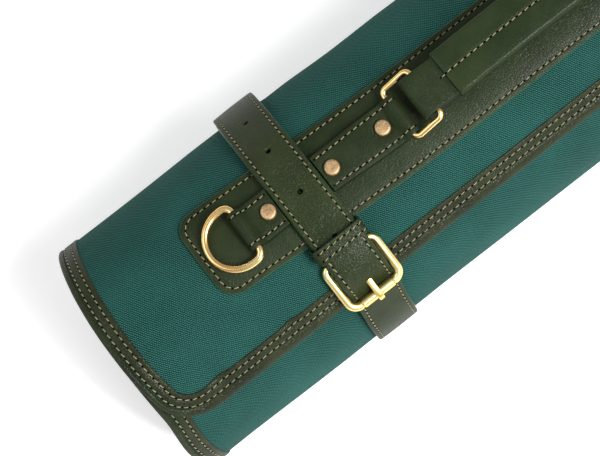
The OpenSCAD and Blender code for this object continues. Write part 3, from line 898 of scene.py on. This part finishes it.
def make_belt(side, name):
    place = on_billet(side)
    angles = np.linspace(TAIL_ANGLE, BILLET_START, 230)
    rows = [-BELT_W / 2 + 2.5 * MM, BELT_W / 2 - 2.5 * MM]
    billet = strap(f"billet_leather_{name}", place, angles, BELT_W, BELT_T, rows, [BELT, EDGE])
    cutters = []
    for i in range(1, 5):
        angle = np.array([TONGUE_HOLE - i * HOLE_STEP])
        low, high = place(angle, np.zeros(1), np.zeros(1)), place(angle, np.zeros(1), np.full(1, MM))
        cutters.append(hole_cutter(low[0], high[0] - low[0], 1.5 * MM))
    cut(billet, cutters)
    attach(billet, "roll")
    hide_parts(f"billet_{name}")
    under = on_strap(side)
    angles_under = np.linspace(STRAP_END, HEEL_ANGLE - 4, 90)
    strap_piece = strap(f"buckle_strap_leather_{name}", under, angles_under, BELT_W, BELT_T, rows,
                        [BELT, EDGE])
    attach(strap_piece, "roll")
    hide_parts(f"buckle_strap_{name}")
    line = np.linspace(TAIL_ANGLE + 3, BILLET_START, 300)
    lines = [row(place, line, r, BELT_T - 0.2 * MM) for r in rows]
    line = np.linspace(STRAP_END + 2, HEEL_ANGLE - 12, 120)
    lines += [row(under, line, r, BELT_T - 0.2 * MM) for r in rows]
    stitches(f"belt_stitches_{name}", lines, "roll")
    make_fold(side, name)


def make_fold(side, name):
    """The strap's fold round the heel bar, with the prong's slot in its middle."""
    heel = joints[f"prong_{name}_lift"]["pos_m"]
    turn = np.radians(np.linspace(-70, 230, 30)) + math.radians(HEEL_ANGLE)
    outer, inner = FOLD_R, HEEL_R + 0.3 * MM
    slot = 2.2 * MM
    half = BELT_W / 2
    for k, (low, high) in enumerate(((-half, -slot), (slot, half))):
        ring = []
        for a in turn:
            d = np.array([0, -math.sin(a), math.cos(a)])
            centre = np.array(heel) - [side * STRAP_SHIFT, 0, 0]
            ring.append([centre + d * inner + [low, 0, 0], centre + d * outer + [low + 0.3 * MM, 0, 0],
                         centre + d * outer + [high - 0.3 * MM, 0, 0], centre + d * inner + [high, 0, 0]])
        rings = np.array(ring)
        run = running(rings[:, 1])
        uv = grid(run, [0, 2 * MM, 12 * MM, 14 * MM])
        piece = sweep(f"heel_fold_{name}_{k}", rings, [BELT], uv)
        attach(piece, "roll")


def make_keeper(side, name):
    """A band round both straps, with two rows of stitches."""
    middle = math.radians(26.5)
    up = np.array([0, -math.sin(middle), math.cos(middle)])
    ahead = np.array([0, -math.cos(middle), -math.sin(middle)])
    centre = np.array([side * (BELT_X - STRAP_SHIFT / 2), AXIS_Y, AXIS_Z])
    inside, thick, long = BELT_W / 2 + 0.6 * MM, 1.5 * MM, 8.1 * MM
    top, bottom = OVER_R + BELT_T + 0.45 * MM, ROLL_R + 1.5 * MM
    path = []
    r = 2.2 * MM
    for k, (cx, cz) in enumerate(((1, -1), (1, 1), (-1, 1), (-1, -1))):
        z0 = top - r if cz > 0 else bottom + r
        for a in np.radians(np.linspace(-90, 0, 8) + 90 * k):
            path.append((cx * (inside - r), z0, math.cos(a), math.sin(a)))
        if k == 1:
            for t in np.linspace(-0.9, 0.9, 12):
                path.append((-t * (inside - r), top - r, 0, 1))
    path = np.array(path)
    bulge = 0.35 * MM * np.clip(path[:, 3], 0, 1) * (1 - (path[:, 0] / inside) ** 2)

    def place(i, across, h):
        i = np.asarray(i, int)
        x, z, nx, nz = path[i].T if np.ndim(i) == 1 else np.moveaxis(path[i], -1, 0)
        reach = r + h
        lift = bulge[i]
        return (centre + np.stack([x + nx * reach, 0 * x, 0 * x], -1)
                + (z + nz * reach + lift)[..., None] * up + across[..., None] * ahead)

    a, b, painted = strap_profile(long, thick, [-2.1 * MM, 2.1 * MM], 0.4 * MM, 0.18 * MM)
    index = np.arange(len(path))
    grid_i, grid_a = np.meshgrid(index, a, indexing="ij")
    _, grid_b = np.meshgrid(index, b, indexing="ij")
    rings = place(grid_i, grid_a, grid_b)
    run = running(rings[:, 5])
    uv = grid(run, profile_length(a, b))
    piece = sweep(f"keeper_leather_{name}", rings, [BELT, EDGE], uv, painted, closed=True)
    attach(piece, "roll")
    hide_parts(f"keeper_{name}")
    on_top = index[9:30]
    rows = [row(place, on_top, v, thick - 0.15 * MM) for v in (-2.1 * MM, 2.1 * MM)]
    stitches(f"keeper_stitches_{name}", rows, "roll", slant=18)


# ---------------------------------------------------------------- tabs, rivets and handle
def tilted(lean):
    """Puts points given as x, distance along the front-back arc and height over the axis."""
    s, c = sin_cos(lean)

    def place(x, y, z):
        x, y, z = np.broadcast_arrays(x, y, z)
        return np.stack([x, AXIS_Y + y * c - z * s, AXIS_Z + y * s + z * c], -1)
    return place


PATCH_TOP = ROLL_R + PATCH_GAP + PATCH_T


def tab_path(bar_x, end_x, bar_r, fold):
    """The strap's middle line: along the patch, round the ring's bar and back on top."""
    low, high = PATCH_TOP + TAB_T / 2 + 0.05 * MM, PATCH_TOP + 1.5 * TAB_T
    radius = fold - TAB_T / 2
    out = 1 if bar_x > end_x else -1
    flat = np.linspace(0, 1, 26)[:, None]
    top_in = np.array([end_x, high])
    top_out = np.array([bar_x - out * FOLD_BLEND, high])
    points = [top_in + (top_out - top_in) * flat]
    peak = np.array([bar_x, bar_r + radius])
    ease = np.linspace(0, 1, 12)[1:-1]
    points.append(np.stack([mix(top_out[0], peak[0], ease), mix(high, peak[1], smooth(ease))], -1))
    turn = np.radians(np.linspace(90, -90, 16))
    points.append(np.stack([bar_x + out * radius * np.cos(turn), bar_r + radius * np.sin(turn)], -1))
    foot = np.array([bar_x - out * FOLD_BLEND, low])
    points.append(np.stack([mix(bar_x, foot[0], ease), mix(bar_r - radius, low, smooth(ease))], -1))
    points.append(foot + (np.array([end_x, low]) - foot) * np.linspace(0, 1, 8)[:, None])
    return np.concatenate(points)


def make_tab(name, node, side, lean, bar_x, end_x, bar_r, width, fold, rivets, askew, taper):
    path = tab_path(bar_x, end_x, bar_r, fold)
    along = running(path)
    tangent = unit(np.gradient(path, axis=0))
    out = 1 if bar_x > end_x else -1
    normal = np.stack([-tangent[:, 1], tangent[:, 0]], -1) * out
    tilt = tilted(lean)

    def place(u, v, h):
        u = np.asarray(u, float)
        x, z = np.interp(u, along, path[:, 0]), np.interp(u, along, path[:, 1])
        nx, nz = np.interp(u, along, normal[:, 0]), np.interp(u, along, normal[:, 1])
        on_top = smooth((along[30] - u) / (2 * MM))
        away = h - TAB_T / 2
        x, z = x + nx * away, z + nz * away
        dent = 0
        for rivet in rivets:
            far = np.hypot(x - rivet, v)
            dent = dent + 0.8 * MM * smooth((5.7 * MM - far) / (1.6 * MM))
        z = z - on_top * dent * smooth(h / TAB_T) - v * v / (2 * PATCH_TOP)
        toward_ring = (x - end_x) / (bar_x - end_x)
        v = v * mix(taper, 1, smooth(toward_ring * 1.4)) + askew * (0.5 - toward_ring)
        return tilt(side * x, v, z)

    rows = [-width / 2 + 2.6 * MM, width / 2 - 2.6 * MM]
    a, b, painted = strap_profile(width, TAB_T, rows, 0.45 * MM, 0.18 * MM)
    rings = place(along[:, None], a[None, :], b[None, :])
    uv = grid(along, profile_length(a, b))
    piece = sweep(name, rings, [TRIM, DARK_EDGE], uv, painted)
    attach(piece, "roll")
    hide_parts(node)
    line = np.linspace(1.5 * MM, along[40], 60)
    stitches(name.replace("leather", "stitches"), [row(place, line, r, TAB_T - 0.12 * MM) for r in rows],
             "roll")


def make_rivets():
    """Flat-topped caps with a rounded rim, one for each CAD cap."""
    profile = np.array([(0.02, 1.68), (1.6, 1.67), (2.9, 1.62), (3.5, 1.5), (3.85, 1.22), (4.0, 0.8),
                        (4.0, -0.6), (1.5, -0.7), (1.5, -5.5), (0.02, -5.5)]) * MM
    turn = whole_turn(40)
    parts, faces, base = [], [], 0
    for side in (-1, 1):
        for x, lean in RIVETS:
            place = tilted(lean)
            r, z = profile[:, 0][:, None], profile[:, 1][:, None]
            points = place(side * x + r * np.cos(turn), r * np.sin(turn),
                           PATCH_TOP + 2 * TAB_T + z + 0 * turn)
            parts.append(points.reshape(-1, 3))
            count = len(profile)
            faces += (quads(count, 40, wrap_columns=True) + base).tolist()
            faces += [[base + k for k in range(40)], [base + (count - 1) * 40 + k for k in range(40)]]
            base += count * 40
    piece = make("rivet_heads", np.concatenate(parts), faces, [RIVET], None, None, 60)
    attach(piece, "roll")
    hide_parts("rivet_caps")


RIVETS = ((157.5 * MM, D_LEAN), (119.8 * MM, HANDLE_LEAN), (88.5 * MM, HANDLE_LEAN))
WRAP_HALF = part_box("handle_wrap")[1][0]
CORE_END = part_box("handle_core")[1][0]
ARCH = 2.5 * MM
HANDLE_W = 22.6 * MM
LOOP_SLACK = 4 * MM
LOOP_R = 4.1 * MM
BAR_X = CORE_END - LOOP_R - LOOP_SLACK
RING_REACH, RING_RISE = 17 * MM, 20.7
BAR_R = RING_BAR_R + RING_REACH * math.sin(math.radians(RING_RISE))


def handle_rise(x):
    return ARCH * (1 - np.minimum(1, np.abs(x) / WRAP_HALF) ** 2)


def make_core():
    """One strap doubled end to end, with a loop round each ring."""
    place_tilted = tilted(HANDLE_LEAN)
    radius = LOOP_R - CORE_T / 2
    middle = BAR_X + LOOP_SLACK
    x = np.linspace(-WRAP_HALF - 1 * MM, WRAP_HALF + 1 * MM, 40)
    top = np.stack([x, BAR_R + handle_rise(x) + CORE_T / 2], -1)
    ease = np.linspace(0, 1, 12)[1:]
    out_x = mix(WRAP_HALF + 1 * MM, middle, ease)
    lift = mix(BAR_R + CORE_T / 2, BAR_R + radius, smooth(ease * 1.15))
    turn = np.radians(np.linspace(90, -90, 18))[1:]
    right = np.concatenate([np.stack([out_x, lift], -1),
                            np.stack([middle + radius * np.cos(turn), BAR_R + radius * np.sin(turn)], -1)])
    lower = np.stack([out_x, 2 * BAR_R - lift], -1)[::-1][1:]
    under = np.stack([x[::-1], BAR_R + handle_rise(x[::-1]) - CORE_T / 2], -1)
    left = np.concatenate([right, lower])[::-1] * [-1, 1]
    path = np.concatenate([top, right, lower, under, left])
    tangent = unit(np.roll(path, -1, axis=0) - np.roll(path, 1, axis=0))
    normal = np.stack([-tangent[:, 1], tangent[:, 0]], -1)
    a, b, painted = strap_profile(HANDLE_W, CORE_T, [], 0.5 * MM)
    away = b[None, :] - CORE_T / 2
    rings = place_tilted(path[:, 0][:, None] + normal[:, 0][:, None] * away, a[None, :],
                         path[:, 1][:, None] + normal[:, 1][:, None] * away)
    run = running(path)
    uv = grid(run, profile_length(a, b))
    piece = sweep("handle_core_leather", rings, [TRIM, DARK_EDGE], uv, painted, closed=True)
    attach(piece, "handle")
    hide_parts("handle_core")


def make_wrap():
    """The grip's outer leather, closed round the core and sewn along its middle."""
    place_tilted = tilted(HANDLE_LEAN)
    half_w = (HANDLE_W + 2 * WRAP_T) / 2
    half_h = CORE_T + 0.15 * MM + WRAP_T
    outline_points = []
    r = 1.9 * MM
    for k, (cy, cz) in enumerate(((1, -1), (1, 1), (-1, 1), (-1, -1))):
        for a in np.radians(np.linspace(-90, 0, 8) + 90 * k):
            outline_points.append((cy * (half_w - r) + r * math.cos(a), cz * (half_h - r) + r * math.sin(a)))
        if k in (1, 3):
            flip = 1 if k == 1 else -1
            for y in (8, 5, 2, 1, 0.5, 0, -0.5, -1, -2, -5, -8):
                dip = 0.3 * bump(y, 0, 0.8) if k == 1 else 0
                outline_points.append((flip * y * MM, flip * half_h - dip * MM))
    shape = np.array(outline_points)
    crown_z = 0.35 * MM * (1 - (shape[:, 0] / half_w) ** 2) * np.sign(shape[:, 1])
    x = np.concatenate([[-WRAP_HALF], np.linspace(-WRAP_HALF + 0.3 * MM, WRAP_HALF - 0.3 * MM, 44),
                        [WRAP_HALF]])
    shrink = np.where(np.abs(x) > WRAP_HALF - 0.1 * MM, 0.95, 1.0)

    def place(u, y, z):
        return place_tilted(u, y, BAR_R + handle_rise(u) + z)

    rings = place(x[:, None], shape[:, 0][None, :] * mix(1, shrink, 0.3)[:, None],
                  (shape[:, 1] + crown_z)[None, :] * shrink[:, None])
    across = profile_length(shape[:, 0], shape[:, 1])
    uv = grid(x, across)
    piece = sweep("handle_wrap_leather", rings, [GRIP, EDGE], uv, np.zeros(len(shape), int))
    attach(piece, "handle")
    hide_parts("handle_wrap")
    line = np.linspace(-WRAP_HALF - 2.6 * MM, WRAP_HALF + 2.6 * MM, 80)
    down = np.where(np.abs(line) > WRAP_HALF, -WRAP_T - 0.1 * MM, 0)
    points = place(line, 0 * line, half_h + 0.1 * MM + down)
    stitches("handle_stitches", [(points, np.tile([0, 0, 1.0], (len(line), 1)))], "handle")


# ---------------------------------------------------------------- metal
RING_HALF, RING_CORNER, RING_WIRE = 14.4 * MM, 3 * MM, 1.5 * MM
D_BOW, D_LEG, D_CORNER, D_WIRE = 15.4 * MM, 6.3 * MM, 4.5 * MM, 1.9 * MM
D_DROOP = math.degrees(math.asin((D_BAR_R - PATCH_TOP - D_WIRE - 0.3 * MM) / (D_LEG + D_BOW)))
FRAME_HALF, FRAME_R, FRAME_CORNER = 15.2 * MM, 2.15 * MM, 5 * MM
ROLLER_LEN, SEAM = 18.8 * MM, 95
PRONG_W = 3.2 * MM


def arc(centre, radius, start, end, count=10):
    a = np.radians(np.linspace(start, end, count))
    return np.stack([centre[0] + radius * np.cos(a), centre[1] + radius * np.sin(a)], -1)


def straight(start, end, count=8):
    return np.array(start) + np.linspace(0, 1, count)[1:-1, None] * (np.array(end) - np.array(start))


def wire(name, place, path, radii, mat, body, node, power=1.0):
    """A closed wire along a flat path. place(x, y, z) sets the wire's plane in the part."""
    ahead = unit(np.roll(path, -1, axis=0) - np.roll(path, 1, axis=0))
    out = np.stack([ahead[:, 1], -ahead[:, 0]], -1)
    turn = whole_turn(20)
    c = np.sign(np.cos(turn)) * np.abs(np.cos(turn)) ** power
    s = np.sign(np.sin(turn)) * np.abs(np.sin(turn)) ** power
    radii = np.broadcast_to(radii, len(path))[:, None]
    rings = place(path[:, 0][:, None] + out[:, 0][:, None] * radii * c,
                  path[:, 1][:, None] + out[:, 1][:, None] * radii * c, radii * s)
    uv = np.zeros((len(path), 20, 2))
    piece = sweep(name, rings, [mat], uv, closed=True, sharp=80)
    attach(piece, body)
    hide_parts(node)


def on_ring(side, lean, rise, bar_x, bar_r):
    """A ring's plane: X out from its bar, Y along the bar and Z off the plane."""
    tilt = tilted(lean)
    s, c = sin_cos(rise)

    def place(x, y, z):
        reach = x * c - z * s
        return tilt(side * (bar_x - reach), y, bar_r + x * s + z * c)
    return place


def d_ring(side, name):
    """The D's bar lies in the tab's fold, and its bow rests on the patch."""
    place = on_ring(side, D_LEAN, D_DROOP, D_BAR_X, D_BAR_R)
    bar = D_BOW - D_CORNER
    path = np.concatenate([
        straight((0, -bar), (0, bar), 12), arc((-D_CORNER, bar), D_CORNER, 0, 90),
        arc((-D_LEG, 0), D_BOW, 90, 270, 44), arc((-D_CORNER, -bar), D_CORNER, -90, 0)])
    wire(f"d_ring_wire_{name}", place, path, D_WIRE, RING, f"d_ring_{name}", f"d_ring_{name}")


def handle_ring(side, name):
    place = on_ring(side, HANDLE_LEAN, RING_RISE, RING_BAR_X, RING_BAR_R)
    h, r, far = RING_HALF - RING_CORNER, RING_CORNER, RING_REACH
    path = np.concatenate([
        straight((far, -h), (far, h), 12), arc((far - r, h), r, 0, 90),
        straight((far - r, RING_HALF), (r, RING_HALF)), arc((r, h), r, 90, 180),
        straight((0, h), (0, -h), 12), arc((r, -h), r, 180, 270),
        straight((r, -RING_HALF), (far - r, -RING_HALF)), arc((far - r, -h), r, -90, 0)])
    wire(f"handle_ring_wire_{name}", place, path, RING_WIRE, RING, f"handle_ring_{name}",
         f"handle_ring_{name}")


def in_buckle(side, name):
    """The buckle's own frame: X along its bars, -Y from the heel bar to the roller, Z outward."""
    heel = np.array(joints[f"prong_{name}_lift"]["pos_m"])
    roller = np.array(joints[f"roller_{name}_spin"]["pos_m"])
    length = float(np.linalg.norm(roller - heel))
    back = (heel - roller) / length
    outward = np.array([0, -back[2], back[1]])

    def place(x, y, z):
        x, y, z = np.broadcast_arrays(x, y, z)
        return (heel + y[..., None] * back + z[..., None] * outward
                + x[..., None] * np.array([-side, 0, 0]))
    return place, length


def buckle(side, name):
    place, length = in_buckle(side, name)
    half, c, heel_c = FRAME_HALF, FRAME_CORNER, 4 * MM
    thin, gap = 1.2 * MM, ROLLER_LEN / 2 + 0.6 * MM
    parts = [(straight((-gap, -length), (gap, -length), 10), thin),
             (np.array([(gap + 0.02 * MM, -length)]), FRAME_R - 0.3 * MM),
             (np.array([(gap + 0.35 * MM, -length)]), FRAME_R),
             (arc((half - c, -length + c), c, -90, 0), FRAME_R),
             (straight((half, -length + c), (half, -heel_c)), FRAME_R),
             (arc((half - heel_c, -heel_c), heel_c, 0, 90), None),
             (straight((half - heel_c, 0), (heel_c - half, 0), 10), 1.6 * MM),
             (arc((heel_c - half, -heel_c), heel_c, 90, 180), None),
             (straight((-half, -heel_c), (-half, -length + c)), FRAME_R),
             (arc((c - half, -length + c), c, 180, 270), FRAME_R),
             (np.array([(-gap - 0.35 * MM, -length)]), FRAME_R),
             (np.array([(-gap - 0.02 * MM, -length)]), FRAME_R - 0.3 * MM)]
    path = np.concatenate([p for p, _ in parts])
    radii = []
    for p, r in parts:
        taper = np.linspace(FRAME_R, 1.6 * MM, len(p))
        if r is None and p[0, 0] < 0:
            taper = taper[::-1]
        radii.append(taper if r is None else np.full(len(p), r))
    wire(f"buckle_wire_{name}", place, path, np.concatenate(radii), BUCKLE, "roll",
         f"buckle_frame_{name}", power=0.85)
    make_roller(name, place, length)
    make_prong(name, place)


def make_roller(name, place, length):
    """A sleeve rolled from sheet, with its seam to the front."""
    turn = np.radians(SEAM + np.concatenate([np.linspace(5, 355, 34), [357, 359, 361, 363]]))
    dip = np.array([0.0] * 34 + [0.1, 0.55, 0.55, 0.1]) * MM
    ends = [(-0.5, 1.55), (-0.5, 2.2), (-0.478, 2.5), (0.478, 2.5), (0.5, 2.2), (0.5, 1.55)]
    rings = []
    for at, r in ends:
        radius = np.where(r > 2, r * MM - dip, r * MM)
        rings.append(place(np.full(len(turn), at * ROLLER_LEN), -length + radius * np.cos(turn),
                           radius * np.sin(turn)))
    rings = np.array(rings)
    count = len(turn)
    faces = quads(6, count, wrap_columns=True).tolist()
    faces += [[j, (j + 1) % count, 5 * count + (j + 1) % count, 5 * count + j] for j in range(count)]
    piece = make(f"roller_sleeve_{name}", rings, faces, [BUCKLE], np.zeros((6 * count, 2)), None, 30)
    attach(piece, f"roller_{name}")
    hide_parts(f"roller_{name}")


def make_prong(name, place):
    """A flat tongue: an eye round the heel bar, cranked over the billet, its tip on the roller."""
    top = np.array([(-5, 2.4), (-10.5, 2.3), (-14, 3.2), (-18, 4.35), (-20.5, 4.75), (-24, 4.85),
                    (-26.6, 4.85), (-28.2, 4.6), (-29.3, 3.9), (-29.8, 3.1), (-29.6, 2.5)]) * MM
    under = np.array([(-28.8, 2.4), (-27.4, 2.65), (-24, 2.68), (-21, 2.65), (-16, 1.3), (-11, 0.1),
                      (-5, -0.8)]) * MM
    shape = np.concatenate([top, under, arc((0, 0), 3.1 * MM, 250, 450, 16)])
    ahead = unit(np.roll(shape, -1, axis=0) - np.roll(shape, 1, axis=0))
    inward = np.stack([-ahead[:, 1], ahead[:, 0]], -1)
    rings = []
    for at, inset in ((-0.5, 0.45), (-0.44, 0.12), (-0.36, 0), (0.36, 0), (0.44, 0.12), (0.5, 0.45)):
        flat = shape + inward * inset * MM
        taper = 1 - 0.12 * smooth((-flat[:, 0] - 27 * MM) / (3 * MM))
        rings.append(place(at * PRONG_W * taper, flat[:, 0], flat[:, 1]))
    piece = sweep(f"prong_tongue_{name}", np.array(rings), [BUCKLE], np.zeros((6, len(shape), 2)),
                  sharp=40)
    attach(piece, f"prong_{name}")
    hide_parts(f"prong_{name}")


def dress(prefix, mat):
    for name, obj in frame["nodes"].items():
        if name.startswith(prefix):
            obj.data.materials.clear()
            obj.data.materials.append(mat)


# ---------------------------------------------------------------- the studio
CAMERA_X, CAMERA_AWAY = -150.2 * MM, 0.9
CAMERA_LEAN, CAMERA_ROLL = 14.35, 38.0
CAMERA_BACK = 1.0 * MM
LENS = 102.06
FLOOR_HALF, FLOOR_GLOW, WORLD_GLOW = 2.5, 0.36, 0.45
# name, place, what it points at, size and watts
LIGHTS = (("key", (0.45, -1.0, 1.6), (-0.1, 0, 0), (0.8, 0.6), 37),
          ("glint", (0.2, -1.2, 1.15), (-0.12, 0, 0.1), (0.12, 0.12), 9),
          ("fill", (-1.3, 0.6, 1.4), (-0.1, 0, 0), (1.2, 1.2), 8))


def make_camera():
    lean, roll = math.radians(CAMERA_LEAN), math.radians(CAMERA_ROLL)
    ahead = Vector((0, math.sin(lean), -math.cos(lean)))
    right = Vector((1, 0, 0))
    up = right.cross(ahead)
    across = math.cos(roll) * right - math.sin(roll) * up
    above = math.sin(roll) * right + math.cos(roll) * up
    data = bpy.data.cameras.new("camera")
    data.lens = LENS
    camera = bpy.data.objects.new("camera", data)
    bpy.context.scene.collection.objects.link(camera)
    camera.matrix_world = Matrix((across, above, -ahead)).transposed().to_4x4()
    camera.location = Vector((CAMERA_X, AXIS_Y + CAMERA_BACK, AXIS_Z)) - CAMERA_AWAY * ahead
    bpy.context.scene.camera = camera


def make_light(name, where, aim, size, power):
    data = bpy.data.lights.new(name, "AREA")
    data.shape = "RECTANGLE"
    data.size, data.size_y = size
    data.energy = power
    light = bpy.data.objects.new(name, data)
    light.location = where
    light.rotation_euler = (Vector(aim) - Vector(where)).to_track_quat("-Z", "Y").to_euler()
    bpy.context.scene.collection.objects.link(light)


def make_studio():
    m, n = material("pale_floor")
    n.finish((0.9, 0.9, 0.9, 1), 0.9, Emission_Color=(1, 1, 1, 1), Emission_Strength=FLOOR_GLOW)
    corners = [(x * FLOOR_HALF, y * FLOOR_HALF, 0) for x, y in ((-1, -1), (1, -1), (1, 1), (-1, 1))]
    floor = make("floor", np.array(corners), [[0, 1, 2, 3]], [m], np.zeros((4, 2)))
    world = bpy.data.worlds.new("studio")
    bpy.context.scene.world = world
    world.use_nodes = True
    background = world.node_tree.nodes["Background"]
    background.inputs["Color"].default_value = (1, 1, 1, 1)
    background.inputs["Strength"].default_value = WORLD_GLOW
    for name, *values in LIGHTS:
        make_light(name, *values)
    bpy.context.scene.view_settings.view_transform = "Standard"


make_sheets()
make_bindings()
make_patch()
for side, name in ((-1, "left"), (1, "right")):
    make_belt(side, name)
    make_keeper(side, name)
    buckle(side, name)
    d_ring(side, name)
    handle_ring(side, name)
    make_tab(f"d_tab_leather_{name}", f"d_tab_{name}", side, D_LEAN, D_BAR_X, BELT_X + BELT_W / 2 + 0.6 * MM,
             D_BAR_R, 22 * MM, 4.0 * MM, [RIVETS[0][0]], 0, 1)
    make_tab(f"handle_tab_leather_{name}", f"handle_tab_{name}", side, HANDLE_LEAN, RING_BAR_X,
             BELT_X - BELT_W / 2 - 0.9 * MM, RING_BAR_R, HANDLE_W, 3.8 * MM,
             [RIVETS[1][0], RIVETS[2][0]], TAB_ASKEW, 0.93)
make_rivets()
make_core()
make_wrap()
dress("rivet_backs", RIVET)
make_camera()
make_studio()
